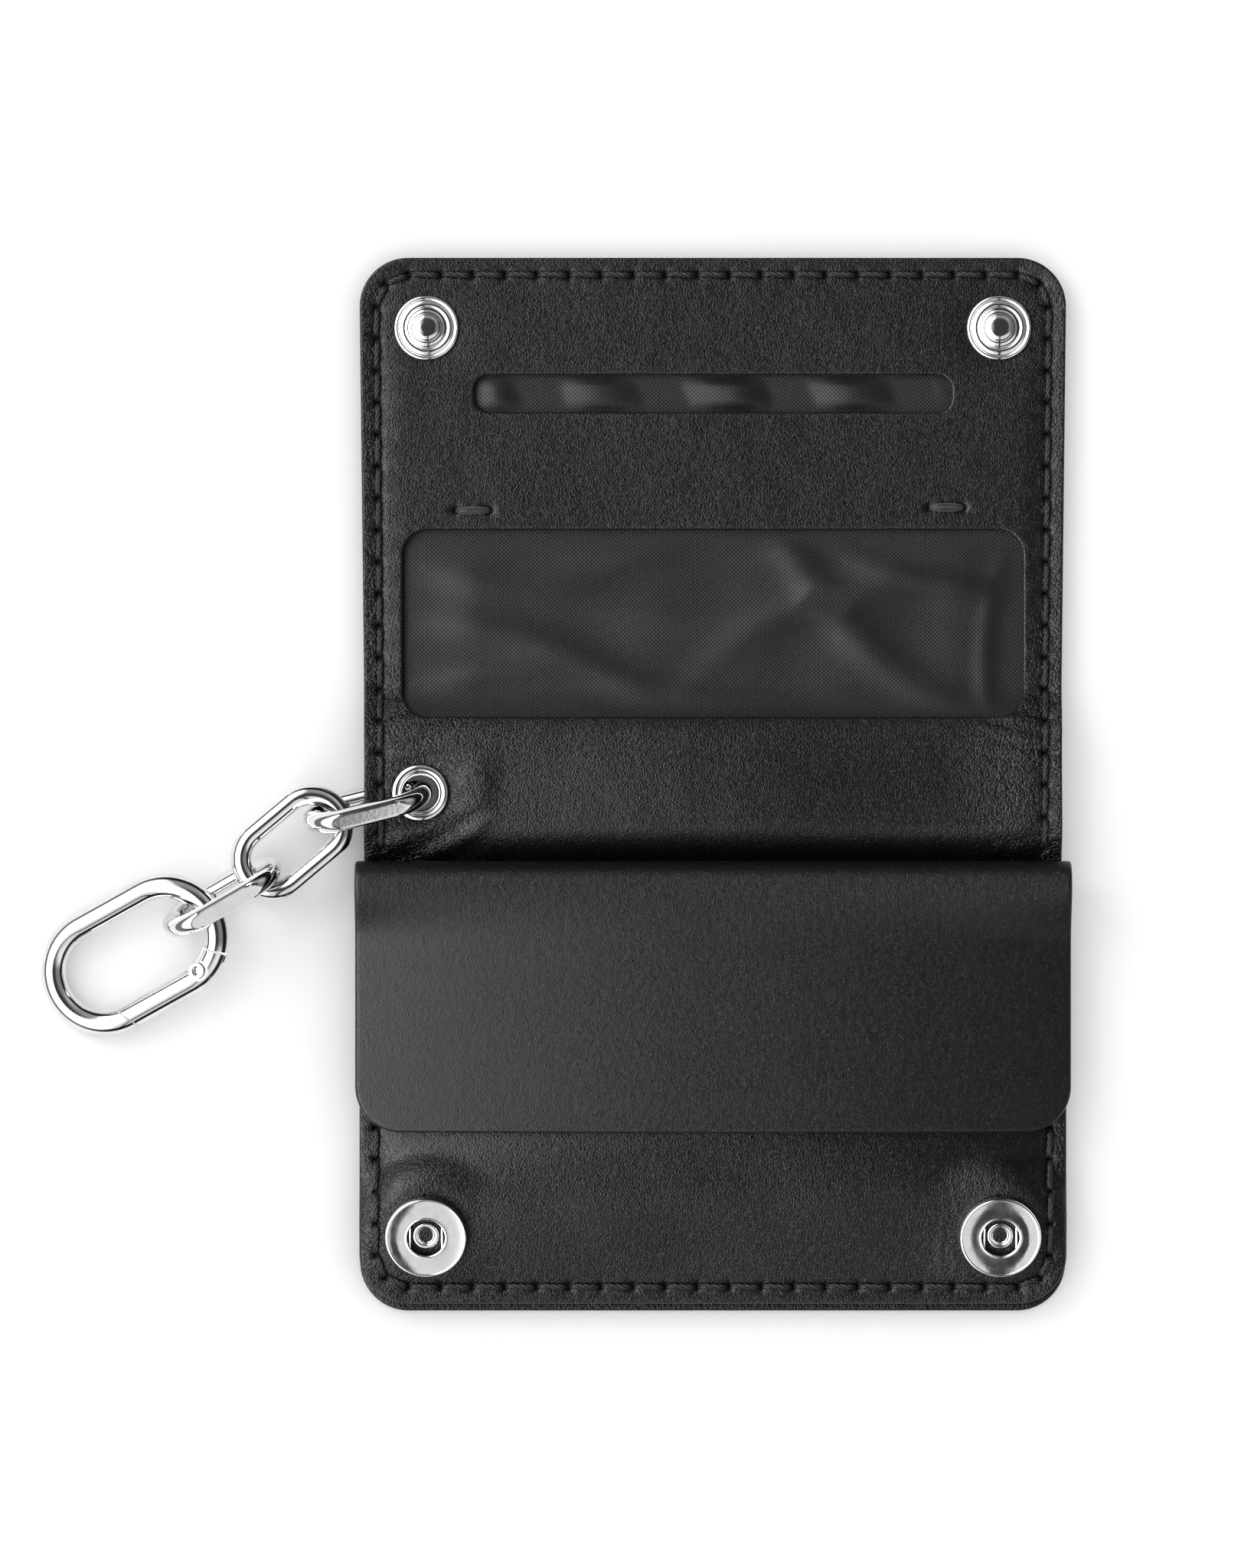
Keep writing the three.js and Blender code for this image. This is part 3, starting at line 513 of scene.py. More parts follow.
def grain_group():
    """Pebbled leather: fine cells, with coarser creased cells where the leather is strained."""
    tree, ends, out = new_group(
        "leather grain", {"Size": 0.45, "Strain": 0.0},
        {"Height": "NodeSocketFloat", "Valley": "NodeSocketFloat", "Blotch": "NodeSocketFloat"})
    at = places(tree)
    per_metre = maths(tree, "DIVIDE", 1000.0, ends.outputs["Size"])
    sway = wire_up(tree, "ShaderNodeTexNoise", Vector=at, Scale=900.0, Detail=3.0)
    nudge = wire_up(tree, "ShaderNodeVectorMath", {"operation": "SCALE"}, i0=sway.outputs["Color"],
                    Scale=0.0006)
    bent = wire_up(tree, "ShaderNodeVectorMath", {"operation": "ADD"}, i0=at,
                   i1=nudge.outputs[0]).outputs[0]
    cells = wire_up(tree, "ShaderNodeTexVoronoi", {"feature": "DISTANCE_TO_EDGE"}, Vector=bent,
                    Scale=per_metre)
    pebble = ramp(tree, cells.outputs["Distance"], 0.0, 0.32)
    long_scale = maths(tree, "MULTIPLY", per_metre, 0.42)
    creased = wire_up(tree, "ShaderNodeTexVoronoi", {"feature": "DISTANCE_TO_EDGE"}, Vector=bent,
                      Scale=long_scale)
    crease = ramp(tree, creased.outputs["Distance"], 0.0, 0.2)
    patch = wire_up(tree, "ShaderNodeTexNoise", Vector=at, Scale=180.0, Detail=4.0,
                    Roughness=0.6).outputs["Fac"]
    amount = maths(tree, "MULTIPLY", ends.outputs["Strain"], ramp(tree, patch, 0.35, 0.6))
    coarse = maths(tree, "MULTIPLY", maths(tree, "SUBTRACT", crease, 1.0),
                   maths(tree, "ADD", 0.18, maths(tree, "MULTIPLY", amount, 1.5)))
    fine = wire_up(tree, "ShaderNodeTexNoise", Vector=at, Scale=5200.0, Detail=2.0).outputs["Fac"]
    swell = wire_up(tree, "ShaderNodeTexNoise", Vector=at, Scale=1300.0, Detail=1.0).outputs["Fac"]
    height = maths(tree, "ADD", maths(tree, "ADD", pebble, coarse),
                   maths(tree, "ADD", maths(tree, "MULTIPLY", fine, 0.35),
                         maths(tree, "MULTIPLY", swell, 1.6)))
    relief = maths(tree, "ADD", 0.5, maths(tree, "MULTIPLY", ends.outputs["Strain"], 0.45))
    tree.links.new(maths(tree, "MULTIPLY", height, relief), out.inputs["Height"])
    tree.links.new(maths(tree, "SUBTRACT", 1.0, pebble), out.inputs["Valley"])
    tree.links.new(patch, out.inputs["Blotch"])
    return tree


def weave_group():
    """Plain woven cloth: two sets of crossing yarns with a little unevenness, and a mask that
    paints the raised yarns lighter and the gaps darker (painted highlight and painted shade).
    """
    tree, ends, out = new_group(
        "weave", {"Pitch": 0.45}, {"Height": "NodeSocketFloat", "Painted yarn shade": "NodeSocketFloat"})
    at = wire_up(tree, "ShaderNodeSeparateXYZ", i0=places(tree))
    wave_number = maths(tree, "DIVIDE", 2000 * math.pi, ends.outputs["Pitch"])
    warp = maths(tree, "SINE", maths(tree, "MULTIPLY", at.outputs[0], wave_number))
    weft = maths(tree, "SINE", maths(tree, "MULTIPLY", at.outputs[1], wave_number))
    over = maths(tree, "MULTIPLY", warp, weft)
    height = ramp(tree, over, -0.3, 0.7)
    uneven = wire_up(tree, "ShaderNodeTexNoise", Vector=places(tree), Scale=700.0,
                     Detail=2.0).outputs["Fac"]
    tree.links.new(maths(tree, "ADD", height, maths(tree, "MULTIPLY", uneven, 0.4)),
                   out.inputs["Height"])
    # Painted highlight and shade: lighter where the yarns rise, darker between them.
    tree.links.new(maths(tree, "MULTIPLY", height, ramp(tree, uneven, 0.2, 0.8, 0.6, 1.0)),
                   out.inputs["Painted yarn shade"])
    return tree


def group_node(tree, group, **values):
    node = tree.nodes.new("ShaderNodeGroup")
    node.node_tree = bpy.data.node_groups[group]
    for label, value in values.items():
        if isinstance(value, bpy.types.NodeSocket):
            tree.links.new(value, node.inputs[label])
        else:
            node.inputs[label].default_value = value
    return node


def new_material(name):
    material = bpy.data.materials.new(name)
    material.use_nodes = True
    tree = material.node_tree
    return material, tree, tree.nodes["Principled BSDF"]


def leather_material(name, size, depth, roughness, tone):
    """Satin black leather: grain; painted shade in the grain's valleys; rims painted paler as a
    painted highlight along the burnished edges; stitch holes painted near black as painted shade.
    """
    settings = bpy.context.scene.wallet_leather
    material, tree, shader = new_material(name)
    strain = mask(tree, "strain")
    grain = group_node(tree, "leather grain", Size=size, Strain=strain)
    base = tuple(c * tone for c in settings.colour) + (1.0,)
    # pale is the colour of the painted highlight along the rims.
    pale = tuple(c * tone * 1.9 + 0.004 for c in settings.colour) + (1.0,)
    colour = mixed(tree, ramp(tree, grain.outputs["Blotch"], 0.3, 0.75), base,
                   tuple(c * 1.15 for c in base[:3]) + (1.0,))
    # Painted shade: the grain's valleys are painted darker, toward a third of the base colour.
    colour = mixed(tree, maths(tree, "MULTIPLY", grain.outputs["Valley"], 0.5), colour,
                   tuple(c * 0.35 for c in base[:3]) + (1.0,))
    # Painted highlight: the rims are painted paler.
    colour = mixed(tree, maths(tree, "MULTIPLY", mask(tree, "rim"), 0.75), colour, pale)
    # Painted shade: the stitch and tack holes are painted near black.
    colour = mixed(tree, mask(tree, "pit"), colour, (0.001, 0.001, 0.001, 1))
    tree.links.new(colour, shader.inputs["Base Color"])
    shine = ramp(tree, grain.outputs["Blotch"], 0.2, 0.8, roughness - 0.008, roughness + 0.008)
    shine = maths(tree, "ADD", shine, maths(tree, "MULTIPLY", grain.outputs["Valley"], 0.08))
    shine = maths(tree, "ADD", shine, maths(tree, "MULTIPLY", mask(tree, "pit"), 0.4), True)
    tree.links.new(shine, shader.inputs["Roughness"])
    bump = wire_up(tree, "ShaderNodeBump", Strength=1.0, Distance=depth * MM,
                   Height=grain.outputs["Height"])
    tree.links.new(bump.outputs[0], shader.inputs["Normal"])
    shader.inputs["Specular IOR Level"].default_value = 0.25
    return material


def thread_material(name, colour):
    """Waxed thread with fine fibres."""
    material, tree, shader = new_material(name)
    fibre = wire_up(tree, "ShaderNodeTexNoise", Vector=places(tree), Scale=4200.0, Detail=3.0,
                    Roughness=0.7).outputs["Fac"]
    base = tuple(colour) + (1.0,)
    pale = tuple(min(1, c * 2.4) for c in colour) + (1.0,)
    tree.links.new(mixed(tree, ramp(tree, fibre, 0.35, 0.7), base, pale),
                   shader.inputs["Base Color"])
    tree.links.new(ramp(tree, fibre, 0.2, 0.8, 0.42, 0.65), shader.inputs["Roughness"])
    bump = wire_up(tree, "ShaderNodeBump", Strength=0.8, Distance=0.06 * MM, Height=fibre)
    tree.links.new(bump.outputs[0], shader.inputs["Normal"])
    shader.inputs["Specular IOR Level"].default_value = 0.3
    return material


def cloth_material():
    """Black nylon lining with a visible weave, its raised yarns painted lighter as a painted
    highlight and the gaps between them painted darker as painted shade.
    """
    settings = bpy.context.scene.wallet_lining
    material, tree, shader = new_material("woven lining")
    weave = group_node(tree, "weave", Pitch=settings.weave)
    dark = tuple(c * 0.03 for c in settings.colour) + (1.0,)
    light = tuple(settings.colour) + (1.0,)
    # Painted highlight on the raised yarns, painted shade between them.
    tree.links.new(mixed(tree, weave.outputs["Painted yarn shade"], dark, light), shader.inputs["Base Color"])
    tree.links.new(ramp(tree, weave.outputs["Height"], 0.3, 1.0, 0.6, 0.27),
                   shader.inputs["Roughness"])
    bump = wire_up(tree, "ShaderNodeBump", Strength=1.0, Distance=0.02 * MM,
                   Height=weave.outputs["Height"])
    tree.links.new(bump.outputs[0], shader.inputs["Normal"])
    shader.inputs["Specular IOR Level"].default_value = 0.26
    return material


def metal_material(name, roughness, tone=1.0):
    """Polished nickel with faint polishing marks."""
    settings = bpy.context.scene.wallet_hardware
    material, tree, shader = new_material(name)
    shader.inputs["Metallic"].default_value = 1.0
    cloud = wire_up(tree, "ShaderNodeTexNoise", Vector=places(tree), Scale=260.0, Detail=4.0,
                    Roughness=0.65).outputs["Fac"]
    base = tuple(c * tone for c in settings.colour) + (1.0,)
    dull = tuple(c * tone * 0.9 for c in settings.colour) + (1.0,)
    tree.links.new(mixed(tree, ramp(tree, cloud, 0.4, 0.7), base, dull),
                   shader.inputs["Base Color"])
    tree.links.new(ramp(tree, cloud, 0.3, 0.75, roughness * 0.6, roughness * 1.6),
                   shader.inputs["Roughness"])
    marks = wire_up(tree, "ShaderNodeTexNoise", Vector=places(tree), Scale=1500.0,
                    Detail=2.0).outputs["Fac"]
    bump = wire_up(tree, "ShaderNodeBump", Strength=0.12, Distance=0.02 * MM, Height=marks)
    tree.links.new(bump.outputs[0], shader.inputs["Normal"])
    return material


def floor_material():
    material, tree, shader = new_material("pale floor")
    tone = wire_up(tree, "ShaderNodeTexNoise", Vector=places(tree), Scale=3.0).outputs["Fac"]
    tree.links.new(mixed(tree, tone, (0.88, 0.88, 0.88, 1), (0.9, 0.9, 0.9, 1)),
                   shader.inputs["Base Color"])
    shader.inputs["Roughness"].default_value = 0.9
    shader.inputs["Specular IOR Level"].default_value = 0.0
    return material


# ---- stitch lines ----
def hole_line(start, end, pitch):
    """Stitch holes from start toward end, one pitch apart."""
    start, end = np.array(start, float), np.array(end, float)
    length = np.linalg.norm(end - start)
    count = int(length / pitch + 1e-6)
    return [tuple(start + (end - start) / length * pitch * i) for i in range(count + 1)]


def corner_holes(far, half):
    """Holes across a far edge, from one side over both corners to the other side."""
    away = math.copysign(1, far)
    end = far - away * STITCH_INSET
    inner = half - STITCH_INSET
    bend = CORNER - STITCH_INSET
    straight = inner - bend
    count = round(2 * straight / PITCH)
    across = [(-straight + 2 * straight * i / count, end) for i in range(count + 1)]
    slack = bend * (1 - math.sqrt(0.5))
    turn = (inner - slack, end - away * slack)
    return [(-turn[0], turn[1])] + across + [turn]


def stitch(start, end, surface, width, lean=0.12):
    """A three-ply stitch that dives into its holes."""
    start, end = np.array(start), np.array(end)
    along = (end - start) / np.linalg.norm(end - start)
    across = np.array([-along[1], along[0]])
    start, end = start + along * 0.3 + across * lean, end - along * 0.3 - across * lean
    length = np.linalg.norm(end - start)
    t = np.linspace(0, 1, 22)
    middle_line = start + (end - start) * t[:, None]
    rise = -0.62 + (0.62 + width * 0.42) * (1 - np.abs(2 * t - 1) ** 7)
    height = surface(middle_line[:, 0], middle_line[:, 1]) + rise
    parts = []
    for ply in range(3):
        turn = 2 * math.pi * (ply / 3 + t * length / 3.4)
        sideways = width * 0.24 * np.cos(turn)
        path = np.stack([middle_line[:, 0] + across[0] * sideways,
                         middle_line[:, 1] + across[1] * sideways,
                         height + width * 0.16 * np.sin(turn)], axis=1)
        parts.append(tube(path, width * 0.27, 7))
    return joined(parts)


def stitches(name, runs, surface, *nodes):
    """The stitches between the holes of each run, as one piece."""
    width = bpy.context.scene.wallet_stitching.width / MM
    parts = [stitch(a, b, surface, width) for holes in runs for a, b in zip(holes, holes[1:])]
    piece = mesh_object(name, *joined(parts))
    return finish_piece(piece, bpy.data.materials["waxed thread"], "thread", *nodes)


def edge_relief(x, y, holes, strength=1.0):
    """Leather drawn down along a seam, puffed beside it, and pulled in at each hole."""
    points = np.array(holes)
    relief = np.zeros(np.shape(x))
    near = np.full(np.shape(x), 1e9)
    for a, b in zip(points, points[1:]):
        along = b - a
        t = np.clip(((x - a[0]) * along[0] + (y - a[1]) * along[1]) / (along @ along), 0, 1)
        near = np.minimum(near, np.hypot(x - a[0] - t * along[0], y - a[1] - t * along[1]))
    relief -= 0.14 * bell(near, 0.6)
    relief -= 0.24 * bell(near, 2.4)
    for px, py in points:
        relief -= 0.07 * bell(np.hypot(x - px, y - py), 0.9)
    return relief * strength


TOP_HOLES = corner_holes(TOP_EDGE, HALF_WIDTH)
SIDE_HOLES = hole_line((HALF_WIDTH - STITCH_INSET, TOP_EDGE - CORNER),
                       (WAIST - STITCH_INSET - 0.05, FLAP_FOLD_Y + 0.8), PITCH)
BOTTOM_HOLES = corner_holes(POCKET_EDGE, HALF_WIDTH)
POCKET_SIDE_HOLES = hole_line((HALF_WIDTH - STITCH_INSET, POCKET_EDGE + CORNER),
                              (HALF_WIDTH - STITCH_INSET, MOUTH - 1.5), PITCH)
EYELET_RADIUS = 4.35
SEAM_Y = EYELET[1] + EYELET_RADIUS + 1.2


def eyelet_strain(x, y):
    """A dent around the eyelet, a fold right of it and slack folds running down from it."""
    along = x - EYELET[0]
    across = y - EYELET[1]
    reach = np.hypot(along, across)
    dent = -0.75 * bell(reach, 5.6)
    ridge = 0.42 * bell(np.hypot(along - 8.4, (across - 1.0) / 1.5) - 1.0, 2.0) * smooth(along / 4)
    slack = 0.3 * np.sin((along * 0.55 - across) * 1.25 + 0.8) * bell(reach - 8.5, 4.5)
    return dent + ridge + slack * smooth(-across / 5) * smooth((13 - np.abs(along)) / 6)


def corner_creases(x, y):
    """Short creases that run from the window's lower corners out to the side stitching."""
    out = np.abs(x) - 38
    band = smooth(out / 7) * bell(y - 7.5, 6.0)
    crease = np.sin(y * 2.3 + out * 0.55 + 0.8 * ripple(x, y, 9.0, 3))
    lower = smooth(out / 9) * bell(y + 8, 5.0)
    return 0.13 * crease * band + 0.08 * np.sin(y * 2.0 - out * 0.3) * lower


def panel_surface(x, y):
    """Height of the inner panel's face from the flap over the spine to the card half's edge."""
    height = lift(y) + PANEL_TOP + spine_crown(x, y)
    height = height + edge_relief(x, y, TOP_HOLES) + edge_relief(np.abs(x), y, SIDE_HOLES)
    for stud in STUDS.values():
        reach = np.hypot(x - stud[0], y - stud[1])
        height = height - 0.42 * bell(reach, 5.4)
    height = height + eyelet_strain(x, y) + corner_creases(x, y)
    height = height + 0.09 * ripple(x, y, 24.0, 4) + 0.03 * ripple(x, y, 9.0, 3)
    for sign in (-1, 1):
        wave = np.sin(y * 2 * math.pi / PITCH + sign) * 0.05
        height = height + wave * bell(sign * x - HALF_WIDTH + 4.6, 1.2)
    return height


SLOT = (0, 59.5, 73.5, 5.8, 2.3)
WINDOW = (0, 24.2, 95.4, 28.8, 4.0)
TACKS = {side: middle(f"tack_{side}") for side in ("left", "right")}
TACK_REACH = 2.95
TACK_FIBRES = 26


def spine_strain(x, y):
    """Where the leather is creased: the sides of the spine, the eyelet and the studs."""
    side = smooth((np.abs(x) - 34) / 16) * bell(y - 2, 17)
    eyelet = bell(np.hypot(x - EYELET[0], y - EYELET[1]), 11)
    rim = smooth((np.abs(x) - 49) / 3) * 0.7
    return np.clip(side + eyelet + rim, 0, 1)


def cover_pieces():
    """The outer cover in two sheets that meet in the middle of the spine."""
    material = bpy.data.materials["cover leather"]
    surface = on_surface(lambda x, y: lift(y) + COVER + spine_crown(x, y))
    hole = [arc(*EYELET, EYELET_RADIUS - 1.2, 0, 2 * math.pi - 0.2)[::-1]]
    seam = SEAM_Y
    lower = skin("outer_cover_coin_half",
                 half_outline(seam, COVER_EDGE, WAIST, HALF_WIDTH, CORNER),
                 hole, surface, COVER, spacing=1.3, seam=seam)
    finish_piece(lower, material, "leather", "cover_lower", "cover_spine")
    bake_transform(lower)
    upper = skin("outer_cover_card_half",
                 half_outline(seam, TOP_EDGE, WAIST, HALF_WIDTH, CORNER),
                 [], surface, COVER, spacing=1.3, seam=seam)
    finish_piece(upper, material, "leather", "cover_upper")
    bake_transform(upper)


def panel_pieces():
    """The inner panel in two sheets that meet across the middle of the spine."""
    material = bpy.data.materials["panel leather"]
    place = on_surface(panel_surface)
    seam = SEAM_Y
    pits = [(x, y, 0.55, 0.95) for x, y in TOP_HOLES]
    pits += [(sign * x, y, 0.55, 0.95) for x, y in SIDE_HOLES for sign in (-1, 1)]
    for tack in TACKS.values():
        pits += [(tack[0] + sign * (TACK_REACH - 0.35), tack[1], 0.62, 0.85) for sign in (-1, 1)]
    upper_pits = [pit for pit in pits if pit[1] > seam]
    lower_pits = [pit for pit in pits if pit[1] < seam]
    upper = skin("inner_panel_card_half", half_outline(seam, TOP_EDGE, WAIST, HALF_WIDTH, CORNER),
                 [rounded_hole(*SLOT), rounded_hole(*WINDOW)], place, PANEL, spacing=0.7,
                 rounding=0.32, pits=upper_pits, strain=spine_strain, seam=seam)
    finish_piece(upper, material, "leather", "card_panel", "panel_spine")
    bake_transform(upper)
    bore = [arc(*EYELET, EYELET_RADIUS - 1.2, 0, 2 * math.pi - 0.2)[::-1]]
    far = MOUTH - 3
    outline = refine([(WAIST, seam), (-WAIST, seam), (-WAIST - 0.2, far), (WAIST + 0.2, far)], 0.8)
    lower = skin("inner_panel_spine", outline, bore, place, PANEL, spacing=0.7, rounding=0.32,
                 pits=lower_pits, strain=spine_strain, seam=seam)
    finish_piece(lower, material, "leather")
    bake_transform(lower)
    back = skin("coin_pocket_back", half_outline(far - 0.3, POCKET_EDGE, HALF_WIDTH, HALF_WIDTH,
                                                 CORNER),
                [], on_surface(lambda x, y: lift(y) + PANEL_TOP + 0 * x), PANEL, spacing=2.0)
    finish_piece(back, material, "leather", "pocket_back")
    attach(back, "lower")


def pouch(x, y):
    """Height of the coin pocket's front, with a sloped flat seat round each socket."""
    power = 2.2 + 2.6 * smooth((FLAP_EDGE - y) / 10)
    side = 1 - np.clip(np.abs(x) / HALF_WIDTH, 0, 1) ** power
    end = smooth((y - POCKET_EDGE) / 19)
    free = FRONT_EDGE_TOP + POUCH * side * end
    seat = SEAT_HEIGHT + (y - SOCKET_Y) * math.tan(CLOSED_WEDGE)
    reach = np.hypot(np.abs(x) - SNAP_X, y - SOCKET_Y)
    seated = 1 - smooth((reach - 6.8) / 6.5)
    return free + (seat - free) * seated


def front_surface(x, y):
    height = pouch(x, y) + edge_relief(x, y, BOTTOM_HOLES)
    height = height + edge_relief(np.abs(x), y, POCKET_SIDE_HOLES)
    reach = np.hypot(np.abs(x) - SNAP_X, y - SOCKET_Y)
    away = smooth((reach - 6.4) / 1.5)
    creases = np.sin((np.abs(x) - SNAP_X) * 3.4 + 1.2 * np.sin(y * 0.5)) * bell(reach - 9, 2.0)
    height = height + 0.05 * creases * away * (x > 0) + away * 0.1 * ripple(x, y, 17.0, 6)
    return height


def coin_pocket_front():
    material = bpy.data.materials["pocket leather"]
    pits = [(x, y, 0.55, 0.95) for x, y in BOTTOM_HOLES]
    pits += [(sign * x, y, 0.55, 0.95) for x, y in POCKET_SIDE_HOLES for sign in (-1, 1)]

    def strain(x, y):
        reach = np.hypot(np.abs(x) - SNAP_X, y - SOCKET_Y)
        return np.clip(0.3 * bell(reach - 8, 4) + smooth((np.abs(x) - 48) / 4) * 0.6, 0, 1)

    front = skin("coin_pocket_front", half_outline(MOUTH, POCKET_EDGE, HALF_WIDTH, HALF_WIDTH,
                                                   CORNER),
                 [], on_surface(front_surface), FRONT, spacing=0.75, rounding=0.4, pits=pits,
                 strain=strain)
    finish_piece(front, material, "leather", "pocket_front")
    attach(front, "lower")


def flap_pieces():
    """The flap: one sheet from under its rolled fold to its free edge, and its sewn root."""
    material = bpy.data.materials["flap leather"]
    radius = ROLL
    under = math.radians(-62)
    bend = radius * (math.pi / 2 - under)
    centre_z = ROLL_BASE + ROLL

    def place(x, s, depth):
        """s runs from the roll's underside (0) round the roll and out along the leaf."""
        round_part = np.clip(s, 0, bend)
        angle = under + round_part / radius
        out = np.clip(s - bend, 0, None)
        sag = 3.4 * (np.abs(x) / FLAP_HALF_WIDTH) ** 2.2 * smooth(out / 9)
        sag = sag + 0.18 * smooth((out - 30) / 8) + 0.07 * ripple(x, out, 34.0, 8) * smooth(out / 6)
        reach = radius - depth
        y = ROLL_Y + reach * np.cos(angle) - out
        z = centre_z + reach * np.sin(angle) - sag
        return np.stack([x, y, z], axis=1)

    length = bend + (ROLL_Y - FLAP_EDGE)
    half = FLAP_HALF_WIDTH
    quarter = math.pi / 2
    outline = [(-half, 0), (half, 0)]
    outline += arc(half - FLAP_CORNER, length - FLAP_CORNER, FLAP_CORNER, 0, quarter)
    outline += arc(-half + FLAP_CORNER, length - FLAP_CORNER, FLAP_CORNER, quarter, 2 * quarter)
    leaf = skin("pocket_flap_leather", refine(outline, 0.8), [], place, FLAP_LEATHER,
                spacing=0.8, rounding=0.5)
    leaf.data.flip_normals()
    finish_piece(leaf, material, "leather", "pocket_flap", "flap_back")
    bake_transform(leaf)

    def place_root(x, s, depth):
        """s runs from the sewn edge toward the roll and up its underside."""
        flat = 6.0
        angle = -quarter + np.clip(s - flat, 0, None) / radius
        reach = radius - depth
        y = ROLL_Y - flat + np.clip(s, 0, flat) + reach * np.cos(angle)
        return np.stack([x, y, centre_z + reach * np.sin(angle)], axis=1)

    end = 6.0 + radius * (under + quarter)
    root_outline = refine([(-half, 0), (half, 0), (half, end), (-half, end)], 0.9)
    root = skin("pocket_flap_root", root_outline, [], place_root, FLAP_LEATHER, spacing=1.2,
                rounding=0.2)
    finish_piece(root, material, "leather")
    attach(root, "lower")


# ---- sewing ----
def mirrored(holes):
    return [(-x, y) for x, y in holes]


def sew():
    """All the seams: round the card half, over the spine, and round the coin pocket."""
    upper = [hole for hole in SIDE_HOLES if hole[1] > SEAM_Y]
    lower = SIDE_HOLES[len(upper) - 1:]
    around = mirrored(upper[::-1]) + TOP_HOLES + upper
    card = stitches("stitching_card_half", [around], panel_surface, "thread_upper",
                    "thread_spine_left", "thread_spine_right")
    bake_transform(card)
    spine = stitches("stitching_spine", [lower, mirrored(lower)], panel_surface,
                     "thread_neck_left", "thread_neck_right")
    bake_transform(spine)
    around = mirrored(POCKET_SIDE_HOLES[::-1]) + BOTTOM_HOLES + POCKET_SIDE_HOLES
    pocket = stitches("stitching_coin_pocket", [around], front_surface, "thread_lower")
    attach(pocket, "lower")


def tack(side):
    """A bar tack: a bundle of pale fibres drawn tight between two holes."""
    rng = np.random.default_rng(11 if side == "left" else 12)
    x, y = TACKS[side][:2]
    reach = TACK_REACH - 0.35
    t = np.linspace(0, 1, 20)
    parts = []
    for _ in range(TACK_FIBRES):
        turn = rng.uniform(0, 2 * math.pi)
        spread = math.sqrt(rng.uniform(0, 1))
        sideways = 0.6 * spread * math.cos(turn)
        raised = 0.3 * spread * math.sin(turn) + 0.12
        waist = 0.45 + 0.55 * np.sin(math.pi * t) ** 0.6
        bow = np.sin(math.pi * t + rng.uniform(-0.3, 0.3)) * rng.uniform(-0.08, 0.08)
        along = x - reach + 2 * reach * t
        across = y + sideways * waist + bow
        rise = -0.55 + 0.98 * (1 - np.abs(2 * t - 1) ** 6) + raised * waist
        height = panel_surface(along, across) + rise
        parts.append(tube(np.stack([along, across, height], axis=1), 0.085, 6))
    piece = mesh_object(f"bar_tack_{side}", *joined(parts))
    finish_piece(piece, bpy.data.materials["tack thread"], "thread", f"tack_{side}")
    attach(piece, "upper")


# ---- lining ----
def lining():
    """The woven lining behind the window and the slot, with soft arc wrinkles."""
    low, high = corner("card_lining", 0), corner("card_lining", 1)
    low[1] = WINDOW[1] - WINDOW[3] / 2 - 1.4
    step = 0.6
    xs = np.linspace(low[0], high[0], round((high[0] - low[0]) / step))
    ys = np.linspace(low[1], high[1], round((high[1] - low[1]) / step))
    x, y = np.meshgrid(xs, ys)
    shown = np.zeros(x.shape)
    for (_, wy, length, width, _), margin in ((WINDOW, 4.0), (SLOT, 1.6)):
        along = smooth((length / 2 - np.abs(x)) / (margin * 3))
        shown = np.maximum(shown, along * smooth((width / 2 - 0.3 - np.abs(y - wy)) / margin))
    folds = np.zeros(x.shape)
    for cx, cy, radius, start, width in ((-30, 74, 44, -34, 2.6), (-44, -34, 58, -34, 2.4),
                                         (-26, -60, 77, -30, 1.8), (30, -14, 44, 24, 2.6),
                                         (66, 66, 62, 22, 3.0), (40, 70, 40, 44, 2.0),
                                         (0, 90, 66, 6, 3.2), (84, 18, 42, 44, 1.6)):
        gap = np.hypot(x - cx, y - cy) - radius
        folds += bell(gap, width) * bell(x - start, 22)
    folds += 0.3 * ripple(x, y, 18.0, 21) + np.sin(x * 0.33 + y * 0.12) * smooth((y - 50) / 4)
    wrinkles = np.clip(0.2 + folds * 0.5, 0, 1)
    height = lift(y) + COVER + spine_crown(x, y) + 0.04 + 1.5 * shown * wrinkles
    thickness = 0.14
    rows, columns = x.shape
    top = np.stack([x, y, height + thickness], axis=-1).reshape(-1, 3)
    bottom = np.stack([x, y, height], axis=-1).reshape(-1, 3)
    index = np.arange(rows * columns).reshape(rows, columns)
    quads = np.stack([index[:-1, :-1], index[:-1, 1:], index[1:, 1:], index[1:, :-1]],
                     axis=-1).reshape(-1, 4)
    n = rows * columns
    rim = [*index[0, :-1], *index[:-1, -1], *index[-1, :0:-1], *index[:0:-1, 0]]
    walls = [(b, a, a + n, b + n) for a, b in zip(rim, rim[1:] + rim[:1])]
    faces = quads.tolist() + (quads[:, ::-1] + n).tolist() + walls
    piece = mesh_object("woven_lining", np.concatenate([top, bottom]), faces)
    finish_piece(piece, bpy.data.materials["woven lining"], "lining", "card_lining")
    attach(piece, "upper")


# ---- hardware ----
def metal_piece(name, parts, body, *nodes, material="polished nickel", sharp=35):
    piece = mesh_object(name, *joined(parts), sharp=sharp)
    finish_piece(piece, bpy.data.materials[material], "nickel", *nodes)
    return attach(piece, body)


def turned(profile, matrix, segments=96, radius=0.12, closed=True):
    points, faces = lathe(soften(profile, radius, closed=closed), segments)
    return moved(points, matrix), faces


